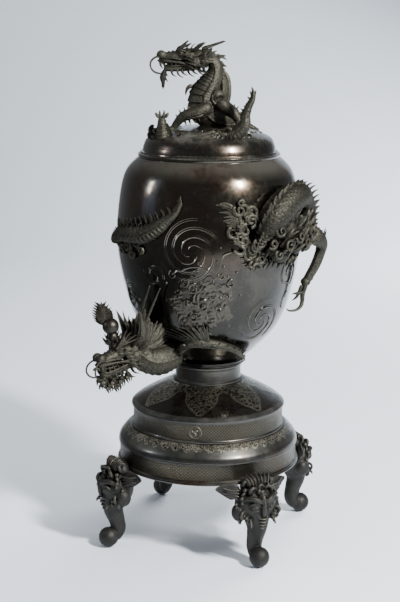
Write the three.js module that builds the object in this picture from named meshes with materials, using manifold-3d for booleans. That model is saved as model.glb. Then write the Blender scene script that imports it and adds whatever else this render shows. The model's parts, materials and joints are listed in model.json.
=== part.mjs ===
// A cast bronze incense vase that stands on the floor: a two-tiered stand on four
// elephant-mask legs, an ovoid vase held in the stand's collar by a spigot, a domed
// lid, and dragons riveted to the vase and the lid. Millimetres, +Z up, origin on the
// floor under the vase's axis. The legs stand on the diagonals of X and Y. The dragons
// are set out in their own frame, which is turned about Z from the legs' frame and has
// -Y towards the vase's show side.
import * as THREE from 'three';
import { mergeVertices } from 'three/addons/utils/BufferGeometryUtils.js';
import Module from 'manifold-3d';

const wasm = await Module();
wasm.setup();

// Driving dimensions. Heights of the tiers are each counted from the one below.
const CAST_WALL = 5;
const SEAT_GAP = 0.3;
const RUNNING_GAP = 0.6;
const RING_STEPS = 32;

const STAND = {
  rimBottom: 150,
  rimHeight: 10,
  rimRadius: 184,
  lowerBandRadius: 181,
  lowerBandHeight: 33,
  lowerDomeHeight: 48,
  upperBandRadius: 152.5,
  upperBandHeight: 29,
  upperDomeHeight: 55,
};
const COLLAR = { radius: 66, bore: 58, height: 36, bead: 2, flange: 8 };
const SPIGOT = { length: 30 };
const VASE = {
  footRadius: 75,
  footHeight: 11,
  bellyRadius: 181.7,
  bellyHeight: 266,
  seatRadius: 139,
  seatHeight: 412.5,
};
const MOUTH = { lipRadius: 125, lipWall: 5, lipHeight: 10, ledge: 6, ledgeDrop: 3.5, ringDepth: 12 };
const LINER = { wall: 2.5, depth: 118, inset: 10 };
const LID = { rimRadius: 139.5, rimHeight: 11, domeRadius: 130, domeHeight: 48 };
const LEG = { spread: 222, ballRadius: 20, maskReach: 19, maskDrop: 28, trunkRadius: 15.5 };
const STUD = { radius: 4, headRadius: 9, headHeight: 6, reach: 26 };
const VENT = { radius: 5, places: [[-56, -78], [20, -92], [74, -66], [96, 20], [30, 92], [-70, 66]] };
const ORNAMENT_TURN = 18;
const LEG_ANGLES = { front_right: -45, back_right: 45, back_left: 135, front_left: -135 };

// The vase's side, as shares of the way from foot to belly and from belly to seat, in
// radius and in height.
const LOWER_SIDE = [[0.28, 0.1], [0.55, 0.235], [0.735, 0.385], [0.87, 0.58], [0.967, 0.795]];
const SHOULDER = [[0.063, 0.307], [0.239, 0.648], [0.508, 0.853]];

const BRONZE = { dark: 0x2c2a24, olive: 0x3b3a2e, stand: 0x35322c, copper: 0x7a4a33 };

// Solids

function solidOf(geometry) {
  const bare = geometry.clone();
  bare.deleteAttribute('normal');
  bare.deleteAttribute('uv');
  const merged = mergeVertices(bare, 1e-4);
  const source = merged.index.array;
  const faces = [];
  for (let i = 0; i < source.length; i += 3) {
    const [a, b, c] = [source[i], source[i + 1], source[i + 2]];
    if (a !== b && b !== c && c !== a) faces.push(a, b, c);
  }
  const places = Float32Array.from(merged.attributes.position.array);
  if (signedVolume(places, faces) < 0) {
    for (let i = 0; i < faces.length; i += 3) [faces[i], faces[i + 1]] = [faces[i + 1], faces[i]];
  }
  const mesh = new wasm.Mesh({ numProp: 3, vertProperties: places, triVerts: Uint32Array.from(faces) });
  return new wasm.Manifold(mesh);
}

function signedVolume(places, faces) {
  const corner = (i) => new THREE.Vector3().fromArray(places, 3 * i);
  let sum = 0;
  for (let i = 0; i < faces.length; i += 3) {
    sum += corner(faces[i]).dot(corner(faces[i + 1]).cross(corner(faces[i + 2])));
  }
  return sum / 6;
}

function geometryOf(solid) {
  const mesh = solid.getMesh();
  const geometry = new THREE.BufferGeometry();
  geometry.setAttribute('position', new THREE.BufferAttribute(mesh.vertProperties.slice(), 3));
  geometry.setIndex(new THREE.BufferAttribute(mesh.triVerts.slice(), 1));
  geometry.computeVertexNormals();
  return geometry;
}

function joined(...solids) {
  return solids.flat(2).reduce((whole, next) => whole.add(next));
}

// What cutters leave of a solid; crumbs that they part from it are dropped.
function cut(solid, ...cutters) {
  const left = cutters.flat(2).reduce((whole, next) => whole.subtract(next), solid);
  return left.decompose().reduce((most, next) => (next.volume() > most.volume() ? next : most));
}

// A profile of [radius, height] points turned about Z.
function revolve(profile, steps = RING_STEPS) {
  const points = profile.map(([r, z]) => new THREE.Vector2(Math.max(r, 0), z));
  const lathe = new THREE.LatheGeometry(points, steps);
  lathe.rotateX(Math.PI / 2);
  return solidOf(lathe);
}

// Evenly spaced points of a smooth profile through the given ones.
function smoothProfile(points, count) {
  const curve = new THREE.SplineCurve(points.map(([r, z]) => new THREE.Vector2(r, z)));
  return curve.getSpacedPoints(count).map((p) => [p.x, p.y]);
}

// The same profile moved sideways by a distance, to its left as it runs.
function offsetProfile(profile, distance) {
  return profile.map(([r, z], i) => {
    const before = profile[Math.max(i - 1, 0)];
    const after = profile[Math.min(i + 1, profile.length - 1)];
    const along = new THREE.Vector2(after[0] - before[0], after[1] - before[1]).normalize();
    return [r - along.y * distance, z + along.x * distance];
  });
}

function vector([x, y, z]) {
  return new THREE.Vector3(x, y, z);
}

// A round bar along a smooth path of [x, y, z, radius] points.
function bar(path, { sides = 6, steps = 2, grow = 0 } = {}) {
  const curve = new THREE.CatmullRomCurve3(path.map(vector), false, 'centripetal');
  const count = steps * (path.length - 1);
  const places = [];
  const normal = new THREE.Vector3();
  const centres = [];
  const tangents = [];
  for (let i = 0; i <= count; i += 1) {
    const share = i / count;
    const at = share * (path.length - 1);
    const low = Math.min(Math.floor(at), path.length - 2);
    const radius = THREE.MathUtils.lerp(path[low][3], path[low + 1][3], at - low) + grow;
    const centre = curve.getPoint(share);
    const tangent = curve.getTangent(share);
    if (i === 0) normal.set(0.31, -0.29, 0.9);
    normal.addScaledVector(tangent, -normal.dot(tangent)).normalize();
    const side = tangent.clone().cross(normal);
    for (let k = 0; k < sides; k += 1) {
      const angle = (2 * Math.PI * k) / sides;
      const rim = centre.clone().addScaledVector(normal, radius * Math.cos(angle));
      places.push(rim.addScaledVector(side, radius * Math.sin(angle)));
    }
    centres.push(centre);
    tangents.push(tangent);
  }
  const cap = (i, radius) => places.push(centres[i].addScaledVector(tangents[i], 0.4 * radius)) - 1;
  const first = cap(0, -path[0][3]);
  const last = cap(count, path[path.length - 1][3]);
  const faces = [];
  for (let i = 0; i < count; i += 1) {
    for (let k = 0; k < sides; k += 1) {
      const next = (k + 1) % sides;
      const [a, b, c, d] = [i * sides + k, i * sides + next, (i + 1) * sides + next, (i + 1) * sides + k];
      faces.push(a, b, c, a, c, d);
    }
  }
  for (let k = 0; k < sides; k += 1) {
    const next = (k + 1) % sides;
    faces.push(first, next, k, last, count * sides + k, count * sides + next);
  }
  const geometry = new THREE.BufferGeometry().setFromPoints(places);
  geometry.setIndex(faces);
  return solidOf(geometry);
}

function ball([x, y, z], [across, deep, high], { width = 6, height = 4 } = {}) {
  const sphere = new THREE.SphereGeometry(1, width, height);
  sphere.rotateX(Math.PI / 2);
  sphere.scale(across, deep, high);
  sphere.translate(x, y, z);
  return solidOf(sphere);
}

// A spike from a wide root to a blunt tip.
function spike(from, to, root, sides = 3) {
  return bar([[...from, root], [...to, 0.8]], { sides, steps: 1 });
}

// A flat plate whose outline runs through points that lie in one plane.
function plate(outline, thickness) {
  const points = outline.map(vector);
  const across = points[1].clone().sub(points[0]).normalize();
  const turn = points[2].clone().sub(points[0]);
  const square = across.clone().cross(turn).normalize();
  const up = square.clone().cross(across);
  const flat = points.map((point) => {
    const offset = point.clone().sub(points[0]);
    return new THREE.Vector2(offset.dot(across), offset.dot(up));
  });
  const slab = new THREE.ExtrudeGeometry(new THREE.Shape(flat), { depth: thickness, bevelEnabled: false });
  slab.translate(0, 0, -thickness / 2);
  slab.applyMatrix4(new THREE.Matrix4().makeBasis(across, up, square).setPosition(points[0]));
  return solidOf(slab);
}

function rod(from, to, radius, sides = 10) {
  const axis = vector(to).sub(vector(from));
  const cylinder = new THREE.CylinderGeometry(radius, radius, axis.length(), sides);
  const upright = new THREE.Vector3(0, 1, 0);
  cylinder.applyQuaternion(new THREE.Quaternion().setFromUnitVectors(upright, axis.clone().normalize()));
  cylinder.translate(...vector(from).addScaledVector(axis, 0.5).toArray());
  return solidOf(cylinder);
}

// A point some way from one place towards another.
function towards(from, to, distance) {
  const along = vector(to).sub(vector(from)).normalize();
  return vector(from).addScaledVector(along, distance).toArray();
}

// A six-sided nut around a stud that runs from one point towards another.
function nut(from, to) {
  const end = towards(from, to, STUD.headHeight);
  const bore = rod(towards(from, to, -1), towards(from, to, STUD.headHeight + 1), STUD.radius + SEAT_GAP);
  return cut(rod(from, end, STUD.headRadius, 6), bore);
}

// A solid made in a local frame, then turned and moved into place.
function placed(solid, frame) {
  return solid.transform(frame.toArray());
}

const part = new THREE.Group();
const ornaments = new THREE.Group();
ornaments.rotation.z = THREE.MathUtils.degToRad(ORNAMENT_TURN);
part.add(ornaments);
const intoOrnaments = (solid) => solid.rotate([0, 0, -ORNAMENT_TURN]);
const outOfOrnaments = (solid) => solid.rotate([0, 0, ORNAMENT_TURN]);

function addPiece(group, name, solid, color, { roughness = 0.45, metalness = 0.8 } = {}) {
  const material = new THREE.MeshStandardMaterial({ color, roughness, metalness });
  const mesh = new THREE.Mesh(geometryOf(solid), material);
  mesh.name = name;
  group.add(mesh);
}

// Stand

const rimTop = STAND.rimBottom + STAND.rimHeight;
const lowerBandTop = rimTop + STAND.lowerBandHeight;
const lowerDomeTop = lowerBandTop + STAND.lowerDomeHeight;
const upperBottom = lowerDomeTop + SEAT_GAP;
const upperBandTop = lowerDomeTop + STAND.upperBandHeight;
const upperDomeTop = upperBandTop + STAND.upperDomeHeight;
const collarBottom = upperDomeTop + SEAT_GAP;
const collarTop = collarBottom + COLLAR.height;
const collarSeat = COLLAR.radius + COLLAR.flange;

const lowerSide = [
  [STAND.lowerBandRadius, rimTop + 1],
  [STAND.lowerBandRadius - 2, lowerBandTop - 2],
  [STAND.lowerBandRadius, lowerBandTop],
  ...smoothProfile([
    [STAND.lowerBandRadius, lowerBandTop + 4],
    [STAND.lowerBandRadius - 8, lowerBandTop + 0.46 * STAND.lowerDomeHeight],
    [STAND.upperBandRadius + 4, lowerDomeTop],
  ], 3),
];
const lowerOuter = [
  [STAND.rimRadius - 2, STAND.rimBottom],
  [STAND.rimRadius, STAND.rimBottom + 3],
  [STAND.rimRadius, rimTop - 2],
  ...lowerSide,
];
const lowerLedge = STAND.upperBandRadius - 2.4 * CAST_WALL;
const lowerTierFull = revolve([
  ...lowerOuter,
  [lowerLedge, lowerDomeTop],
  [lowerLedge, lowerDomeTop - CAST_WALL],
  ...offsetProfile(lowerSide, CAST_WALL).slice(1, -1).reverse(),
  [STAND.lowerBandRadius - CAST_WALL - 1, STAND.rimBottom],
  lowerOuter[0],
]);
const lowerTierCutter = revolve([
  [0, STAND.rimBottom - SEAT_GAP],
  ...offsetProfile(lowerOuter, -SEAT_GAP),
  [0, lowerDomeTop],
]);

const upperSide = [
  [STAND.upperBandRadius, upperBottom + 5],
  [STAND.upperBandRadius - 1, upperBandTop - 2],
  [STAND.upperBandRadius + 2, upperBandTop],
  ...smoothProfile([
    [STAND.upperBandRadius + 2, upperBandTop + 4],
    [STAND.upperBandRadius - 9, upperBandTop + 0.25 * STAND.upperDomeHeight],
    [STAND.upperBandRadius - 33, upperBandTop + 0.54 * STAND.upperDomeHeight],
    [collarSeat + 2, upperDomeTop],
  ], 5),
];
const upperTier = revolve([
  [STAND.upperBandRadius + 3, upperBottom],
  [STAND.upperBandRadius + 3, upperBottom + 3],
  ...upperSide,
  [COLLAR.bore, upperDomeTop],
  [COLLAR.bore, upperDomeTop - CAST_WALL],
  ...offsetProfile(upperSide, CAST_WALL).slice(0, -1).reverse(),
  [STAND.upperBandRadius - CAST_WALL, upperBottom],
  [STAND.upperBandRadius + 3, upperBottom],
]);

const collar = revolve([
  [COLLAR.bore, collarBottom],
  [collarSeat, collarBottom],
  [collarSeat, collarBottom + 3],
  [COLLAR.radius, collarBottom + 7],
  [COLLAR.radius, collarTop - 6],
  [COLLAR.radius + COLLAR.bead, collarTop - 4],
  [COLLAR.radius + COLLAR.bead, collarTop],
  [COLLAR.bore, collarTop],
  [COLLAR.bore, collarBottom],
]);

// An elephant-mask leg, made with its outward direction along +X: places on the mask are
// given from its middle, and mirrored to both sides.
function legSolid() {
  const { spread, ballRadius, maskReach, maskDrop, trunkRadius } = LEG;
  const middle = [STAND.rimRadius + maskReach, 0, STAND.rimBottom - maskDrop];
  const on = ([x, y, z]) => [middle[0] + x, y, middle[2] + z];
  const trunk = bar([
    [...on([2, 0, 8]), trunkRadius + 16],
    [...on([6, 0, -22]), trunkRadius + 11],
    [...on([8, 0, -44]), trunkRadius + 5],
    [...on([1, 0, -68]), trunkRadius + 1],
    [middle[0] - 2, 0, 1.8 * ballRadius, trunkRadius],
    [middle[0] + 5, 0, 1.1 * ballRadius, trunkRadius - 1],
    [spread, 0, ballRadius, trunkRadius - 3],
  ], { sides: 7, steps: 1 });
  const footSize = [ballRadius, ballRadius, ballRadius];
  const foot = ball([spread, 0, ballRadius - 1.5], footSize, { width: 9, height: 6 });
  const head = ball(on([1, 0, 3]), [34, 46, 41], { width: 8, height: 5 });
  const crown = ball(on([-6, 0, 38]), [22, 30, 25]);
  const sides = [-1, 1].map((side) => [
    ball(on([5, side * 38, -10]), [21, 22, 22]),
    ball(on([26, side * 15, 8]), [12, 10, 8]),
    ball(on([6, side * 25, 37]), [15, 15, 13]),
    bar([
      [...on([34, side * 3, 9]), 4],
      [...on([31, side * 16, 17]), 6],
      [...on([18, side * 34, 13]), 4],
    ], { sides: 4, steps: 1 }),
    plate([on([-4, side * 34, 40]), on([-20, side * 80, 37]), on([-10, side * 54, 7])], 9),
  ]);
  return joined(trunk, foot, head, crown, sides);
}

const screwHeight = rimTop + STAND.rimHeight;
const screwSeat = STAND.lowerBandRadius - CAST_WALL - 3;
const screwTip = screwSeat + STUD.reach;
const screw = joined(
  rod([screwSeat, 0, screwHeight], [screwTip, 0, screwHeight], STUD.radius),
  rod([screwSeat - CAST_WALL, 0, screwHeight], [screwSeat, 0, screwHeight], STUD.headRadius),
);
const screwHole = rod(
  [screwSeat - 1, 0, screwHeight],
  [screwTip + SEAT_GAP, 0, screwHeight],
  STUD.radius + SEAT_GAP,
);
const seatPad = rod(
  [screwSeat - 3 * CAST_WALL, 0, screwHeight],
  [screwSeat + SEAT_GAP, 0, screwHeight],
  STUD.headRadius + 2,
);
const underFloor = rod([0, 0, -4 * LEG.ballRadius], [0, 0, 0], 2 * LEG.spread);
const leg = cut(legSolid(), lowerTierCutter, screwHole, underFloor);
const legSocket = joined(screwHole, seatPad);
const legSockets = Object.values(LEG_ANGLES).map((angle) => legSocket.rotate([0, 0, angle]));

addPiece(part, 'stand_lower_tier', cut(lowerTierFull, legSockets), BRONZE.stand);
addPiece(part, 'stand_upper_tier', upperTier, BRONZE.stand);
addPiece(part, 'stand_collar', collar, BRONZE.stand);
for (const [place, angle] of Object.entries(LEG_ANGLES)) {
  addPiece(part, `leg_${place}`, leg.rotate([0, 0, angle]), BRONZE.olive);
  addPiece(part, `leg_screw_${place}`, screw.rotate([0, 0, angle]), BRONZE.dark);
}

// Vase

const vaseBottom = collarTop + SEAT_GAP;
const footTop = vaseBottom + VASE.footHeight;
const belly = vaseBottom + VASE.bellyHeight;
const seat = vaseBottom + VASE.seatHeight;
const blend = (from, to) => ([out, up]) => [
  THREE.MathUtils.lerp(from[0], to[0], out),
  THREE.MathUtils.lerp(from[1], to[1], up),
];
const footEdge = [VASE.footRadius - 3, footTop + SEAT_GAP];
const bellyPoint = [VASE.bellyRadius, belly];
const seatEdge = [VASE.seatRadius, seat];
const vaseOuter = smoothProfile([
  footEdge,
  ...LOWER_SIDE.map(blend(footEdge, bellyPoint)),
  bellyPoint,
  ...SHOULDER.map(blend(bellyPoint, seatEdge)),
  seatEdge,
], 13);
const ringSeat = MOUTH.lipRadius + SEAT_GAP;
const vaseShell = revolve([
  ...vaseOuter,
  [ringSeat, seat],
  [ringSeat, seat - CAST_WALL - 2],
  ...offsetProfile(vaseOuter, CAST_WALL).slice(0, -1).reverse(),
  [0, footTop + CAST_WALL],
  [0, footTop + SEAT_GAP],
  vaseOuter[0],
]);
const vaseCutter = intoOrnaments(revolve([
  [0, vaseBottom - SEAT_GAP],
  [VASE.footRadius + SEAT_GAP, vaseBottom - SEAT_GAP],
  [VASE.footRadius + SEAT_GAP, footTop],
  ...offsetProfile(vaseOuter, -SEAT_GAP).slice(1),
  [0, seat + 2],
]));

// The ring let into the vase's mouth: its lip centres the lid and its ledge carries the liner.
const bore = MOUTH.lipRadius - MOUTH.lipWall;
const ledge = bore - MOUTH.ledge;
const mouthRing = revolve([
  [MOUTH.lipRadius, seat - MOUTH.ringDepth],
  [MOUTH.lipRadius, seat + MOUTH.lipHeight],
  [bore, seat + MOUTH.lipHeight],
  [bore, seat - MOUTH.ledgeDrop],
  [ledge, seat - MOUTH.ledgeDrop],
  [ledge, seat - MOUTH.ringDepth],
  [MOUTH.lipRadius, seat - MOUTH.ringDepth],
]);
const spigotRadius = COLLAR.bore - RUNNING_GAP;
const footRing = revolve([
  [spigotRadius - CAST_WALL, vaseBottom - SPIGOT.length],
  [spigotRadius, vaseBottom - SPIGOT.length],
  [spigotRadius, vaseBottom],
  [VASE.footRadius - 3, vaseBottom],
  [VASE.footRadius, vaseBottom + 3],
  [VASE.footRadius, footTop - 3],
  [VASE.footRadius - 3, footTop],
  [spigotRadius - CAST_WALL, footTop],
  [spigotRadius - CAST_WALL, vaseBottom - SPIGOT.length],
]);
const linerTop = seat - MOUTH.ledgeDrop + SEAT_GAP;
const linerRadius = ledge - LINER.inset;
const linerKnee = linerTop - 0.55 * LINER.depth;
const linerTurn = linerTop - 0.92 * LINER.depth;
const liner = revolve([
  [0, linerTop - LINER.depth + LINER.wall],
  [0.7 * linerRadius, linerTurn + LINER.wall],
  [linerRadius - LINER.wall, linerKnee],
  [linerRadius - LINER.wall, linerTop + LINER.wall],
  [bore - RUNNING_GAP, linerTop + LINER.wall],
  [bore - RUNNING_GAP, linerTop],
  [linerRadius, linerTop],
  [linerRadius, linerKnee],
  [0.72 * linerRadius, linerTurn],
  [0, linerTop - LINER.depth],
]);

// The wall's outer radius at a height.
function wallRadius(height) {
  const above = Math.max(vaseOuter.findIndex(([, z]) => z > height), 1);
  const [r1, z1] = vaseOuter[above - 1];
  const [r2, z2] = vaseOuter[above];
  return THREE.MathUtils.lerp(r1, r2, Math.max((height - z1) / (z2 - z1), 0));
}

// A place by the vase's wall, from its turn in degrees from the show side (minus is left),
// its height above the vase's underside, and how far it stands out from the wall.
function byWall([turn, height, out, ...radius]) {
  const angle = THREE.MathUtils.degToRad(turn);
  const reach = wallRadius(vaseBottom + height) + out;
  return [reach * Math.sin(angle), -reach * Math.cos(angle), vaseBottom + height, ...radius];
}
const wallPath = (points) => points.map(byWall);
const wallSpike = (from, to, root, sides) => spike(byWall(from), byWall(to), root, sides);

// A scroll of spray that curls in on itself against the wall: its turn and height, how far
// it reaches, how thick it starts, and +1 or -1 for the way that it curls.
function scroll([turn, height, reach, thick, way], { steps = 7, round = 1.2, start = 0.5 } = {}) {
  const path = Array.from({ length: steps + 1 }, (_, i) => {
    const share = i / steps;
    const angle = 2 * Math.PI * (start + way * round * share);
    const size = reach * (1 - 0.75 * share);
    const across = THREE.MathUtils.radToDeg((size * Math.cos(angle)) / wallRadius(vaseBottom + height));
    return byWall([turn + across, height + size * Math.sin(angle), 0.5 * thick, thick * (1 - 0.6 * share)]);
  });
  return bar(path, { sides: 5, steps: 1 });
}

// A dragon's head in its own frame: the nape at the origin, +X to the snout and +Z up.
const bothSides = (make) => [-1, 1].map(make);
const headSolid = joined(
  ball([2, 0, -4], [27, 21, 19], { width: 8 }),
  bar([[0, 0, -4, 18], [36, 0, -4, 15], [58, 0, -8, 12], [76, 0, -10, 9]], { sides: 7, steps: 1 }),
  bothSides((side) => ball([70, side * 7, -1], [13, 8, 10])),
  bothSides((side) => ball([6, side * 17, -13], [18, 11, 13])),
  bothSides((side) => bar(
    [[50, side * 10, 1, 3], [36, side * 14, 10, 6], [10, side * 16, 11, 4]],
    { sides: 4, steps: 1 },
  )),
  bothSides((side) => plate([[17, side * 12, 8], [-5, side * 19, 10], [4, side * 20, 33]], 4)),
  bothSides((side) => spike([78, side * 7, -12], [70, side * 8, -27], 4)),
);
const CHIN = [72, 0, -33];
function jawSolid(beard) {
  return joined(
    bar([[-6, 0, -22, 11], [20, 0, -29, 10], [50, 0, -32, 8], [...CHIN, 6]], { sides: 6, steps: 1 }),
    bothSides((side) => [0, 1, 2, 3].map((i) =>
      spike([54 - 15 * i, side * 4, -35], [44 - 16 * i, side * 8, -50 - 2 * (i % 2)], 5))),
    beard,
  );
}
function hornSolid(side, { tilt, reach }, grow = 0) {
  const lean = THREE.MathUtils.degToRad(tilt);
  const at = (share, radius) => [
    -8 - share * reach * Math.sin(lean),
    side * (8 + 6 * share),
    14 + share * reach * Math.cos(lean),
    radius,
  ];
  return bar([at(0, 6), at(0.4, 4.5), at(1, 1.4)], { sides: 5, steps: 1, grow });
}

// A wire feeler that leaves the nostril and sweeps forward in a loop to the chin.
function feelerSolid(side) {
  const loop = [0.15, 0.35, 0.5, 0.65, 0.85].map((share) => {
    const angle = Math.PI * share;
    return [76 + 18 * Math.sin(angle), side * (8 + 5 * Math.sin(angle)), -19 + 16 * Math.cos(angle), 2];
  });
  return bar([[70, side * 8, -4, 2.4], ...loop, [70, side * 6, -34, 2]], { sides: 4, steps: 1 });
}

// The mane: a ruff round the nape with locks that fan out between two tilts from upright.
function maneSolid({ locks, reach, tilts }) {
  const ruff = ball([-12, 0, -4], [13, 23, 21]);
  const strands = Array.from({ length: locks }, (_, i) => {
    const lean = THREE.MathUtils.degToRad(THREE.MathUtils.lerp(...tilts, i / (locks - 1)));
    const side = (i % 3) - 1;
    const length = reach * (1 - 0.24 * (i % 2));
    const tip = [-12 - length * Math.sin(lean), side * (14 + 0.2 * length), -4 + length * Math.cos(lean)];
    return spike([-10, 11 * side, 0], tip, 9, 4);
  });
  return joined(ruff, strands);
}

// The frame of a head whose snout points along a direction, with its crown towards up.
function headFrame(at, snout, up, scale) {
  const x = vector(snout).normalize();
  const y = vector(up).cross(x).normalize();
  const z = x.clone().cross(y);
  const turned = new THREE.Matrix4().makeBasis(x, y, z);
  return turned.scale(vector([scale, scale, scale])).setPosition(vector(at));
}

// One head with its jaw, horns, feelers and mane as pieces that meet and don't overlap.
const ROOM = 1.012;
const roomFor = (solid) => joined(solid, placed(solid, new THREE.Matrix4().makeScale(ROOM, ROOM, ROOM)));
function headPieces(frame, { beard, mane, horns }, cutters) {
  const skullSpace = roomFor(headSolid);
  const jaw = cut(jawSolid(beard), skullSpace);
  const jawSpace = roomFor(jaw);
  const hornSpaces = bothSides((side) => hornSolid(side, horns, SEAT_GAP));
  const pieces = {
    head: headSolid,
    jaw,
    mane: cut(maneSolid(mane), skullSpace, jawSpace, hornSpaces),
    horn_left: cut(hornSolid(1, horns), skullSpace),
    horn_right: cut(hornSolid(-1, horns), skullSpace),
    whisker_left: cut(feelerSolid(1), skullSpace, jawSpace),
    whisker_right: cut(feelerSolid(-1), skullSpace, jawSpace),
  };
  const finished = (solid) => cut(placed(solid, frame), cutters);
  return Object.fromEntries(Object.entries(pieces).map(([name, solid]) => [name, finished(solid)]));
}

// A clawed foot: a palm with talons that spread forwards and curl down.
function clawSolid(at, forward, down, size) {
  const ahead = vector(forward).normalize();
  const drop = vector(down).normalize();
  const side = ahead.clone().cross(drop);
  const talons = [-1, 0, 1].map((share) => {
    const root = vector(at).addScaledVector(side, share * size * 0.6);
    const knuckle = root.clone().addScaledVector(ahead, size * 1.3);
    knuckle.addScaledVector(side, share * size * 0.6);
    const tip = knuckle.clone().addScaledVector(ahead, size * 0.7).addScaledVector(drop, size * 1.1);
    return bar([
      [...root.toArray(), size * 0.42],
      [...knuckle.toArray(), size * 0.36],
      [...tip.toArray(), 0.8],
    ], { sides: 4, steps: 1 });
  });
  return joined(ball(at, [size * 0.85, size * 0.85, size * 0.7]), talons);
}

// The dragon on the vase

const NECK_PATH = wallPath([
  [-37.5, 46, -16, 24], [-38.5, 38, 8, 27], [-39.5, 32, 33, 29], [-41.2, 29, 58, 30], [-44.8, 34, 74, 27],
  [-46.6, 46, 75, 23], [-48.2, 59, 73, 19],
]);
const neckBlank = (grow) => bar(NECK_PATH, { sides: 9, steps: 1, grow });
const neckRoom = joined(neckBlank(0), neckBlank(SEAT_GAP));
const vaseNape = NECK_PATH[NECK_PATH.length - 1];
const vaseHeadFrame = headFrame(vaseNape, [-0.74, -0.65, -0.12], [0, 0, 1], 1.1);
const curlBeard = joined([0, 1, 2].map((i) => bothSides((side) =>
  ball([70 - 17 * i + 4 * side, 8 * side, -45 - 5 * (i % 2) - 3 * side], [9, 8, 11]))));
const vaseMane = { locks: 10, reach: 70, tilts: [-4, 104] };
const vaseHorns = { tilt: 30, reach: 82 };
const vaseStyle = { beard: curlBeard, mane: vaseMane, horns: vaseHorns };
const vaseHead = headPieces(vaseHeadFrame, vaseStyle, [neckRoom, vaseCutter]);

const COIL_PATH = wallPath([
  [29, 262, 6, 20], [31, 284, 18, 24], [35.5, 310, 20, 26], [42, 332, 22, 26], [50, 346, 23, 25],
  [59, 350, 22, 24], [67, 340, 17, 22], [73, 318, 14, 21], [76, 290, 12, 21], [76, 262, 10, 19],
  [73, 238, 4, 14],
]);
const coilBlank = (grow) => bar(COIL_PATH, { sides: 8, steps: 1, grow });
const coilSpines = [
  [55, 376, 42], [63, 376, 48], [71, 364, 46], [77, 345, 45], [81, 322, 42], [83, 300, 38], [84, 278, 34],
].map(([turn, height, out], i) =>
  wallSpike([turn - 3, height - 14, out - 16], [turn + 1, height, out], 8 - 0.3 * i));
const flankFlames = [[33, 236, 40, 266], [40, 230, 46, 268], [47, 228, 53, 262], [54, 226, 60, 250]].map(
  ([lowTurn, low, highTurn, high]) => bar(wallPath([
    [highTurn, high, 8, 15], [(lowTurn + highTurn) / 2, (low + high) / 2, 9, 11], [lowTurn, low, 3, 3],
  ]), { sides: 5, steps: 1 }),
);
const HIND_PATH = wallPath([
  [72, 276, 20, 18], [76, 262, 32, 16], [80, 248, 42, 12], [82, 232, 42, 10.5], [81, 204, 36, 10],
  [80, 182, 29, 9], [79, 168, 24, 8],
]);
const hindBlank = (grow) => bar(HIND_PATH, { sides: 6, steps: 1, grow });
const hindSpines = [
  [[79, 248, 42], [78, 272, 46]],
  [[82, 248, 46], [83, 268, 50]],
  [[76, 262, 40], [74, 280, 44]],
].map(([from, to]) => wallSpike(from, to, 6));
const hindTalons = [
  [[79, 170, 24, 7], [78.2, 157, 27, 5.5], [77.5, 150, 25, 4.5], [76, 148, 16, 3.5], [74.2, 147, 6, 1]],
  [[79, 168, 24, 7], [79.2, 143, 26, 6], [79.3, 131, 29, 5], [77.9, 121, 30, 4.5], [76, 114, 24, 3.5],
    [72.6, 114, 13, 2.5], [71.1, 119, 5, 1]],
  [[78, 164, 20, 5], [76.5, 142, 17, 3.5], [75, 133, 10, 1]],
].map((path) => bar(wallPath(path), { sides: 5, steps: 1 }));
const haunch = ball(byWall([47, 290, 12]), [27, 27, 32], { width: 8, height: 6 });
const coilRoom = joined(coilBlank(0), coilBlank(SEAT_GAP), haunch, flankFlames);
const coilPiece = cut(
  joined(coilBlank(0), haunch, coilSpines, flankFlames),
  hindBlank(SEAT_GAP),
  vaseCutter,
);
const hindPiece = cut(joined(hindBlank(0), hindSpines, hindTalons), vaseCutter);

// Spray that breaks over the wall beside the coil.
const SPRAY = [[20, 326, 14, 7, 1], [14, 305, 12, 6, -1], [22, 300, 15, 7, 1], [18, 276, 14, 7, -1],
  [24, 262, 12, 6, 1], [25, 232, 13, 6, 1]];
const sprayBank = bar(wallPath([
  [17, 334, 2, 9], [15, 314, 3, 12], [19, 292, 4, 15], [21, 266, 4, 14], [25, 240, 2, 10], [30, 226, 0, 6],
]), { sides: 6, steps: 1 });
const spray = cut(joined(sprayBank, SPRAY.map((curl) => scroll(curl))), coilRoom, vaseCutter);

const forelegPiece = cut(
  joined(
    bar(wallPath([
      [40, 26, 10, 9], [27, 46, 8, 11], [12, 60, 8, 12], [-2, 68, 8, 12], [-12, 70, 9, 11],
      [-22, 58, 10, 10], [-30, 40, 12, 8],
    ]), { sides: 6, steps: 1 }),
    [[-38, 92, 6], [-34, 104, 4], [-27, 114, 4], [-19, 118, 4], [-11, 116, 4]].map(
      ([turn, height, out]) => wallSpike([-12 + 0.2 * turn, 72, 9], [turn, height, out], 8, 4)),
    [[14, 28, 20], [2, 34, 20]].map((tip) => wallSpike([8, 58, 12], tip, 6)),
  ),
  neckRoom,
  vaseCutter,
);

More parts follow.
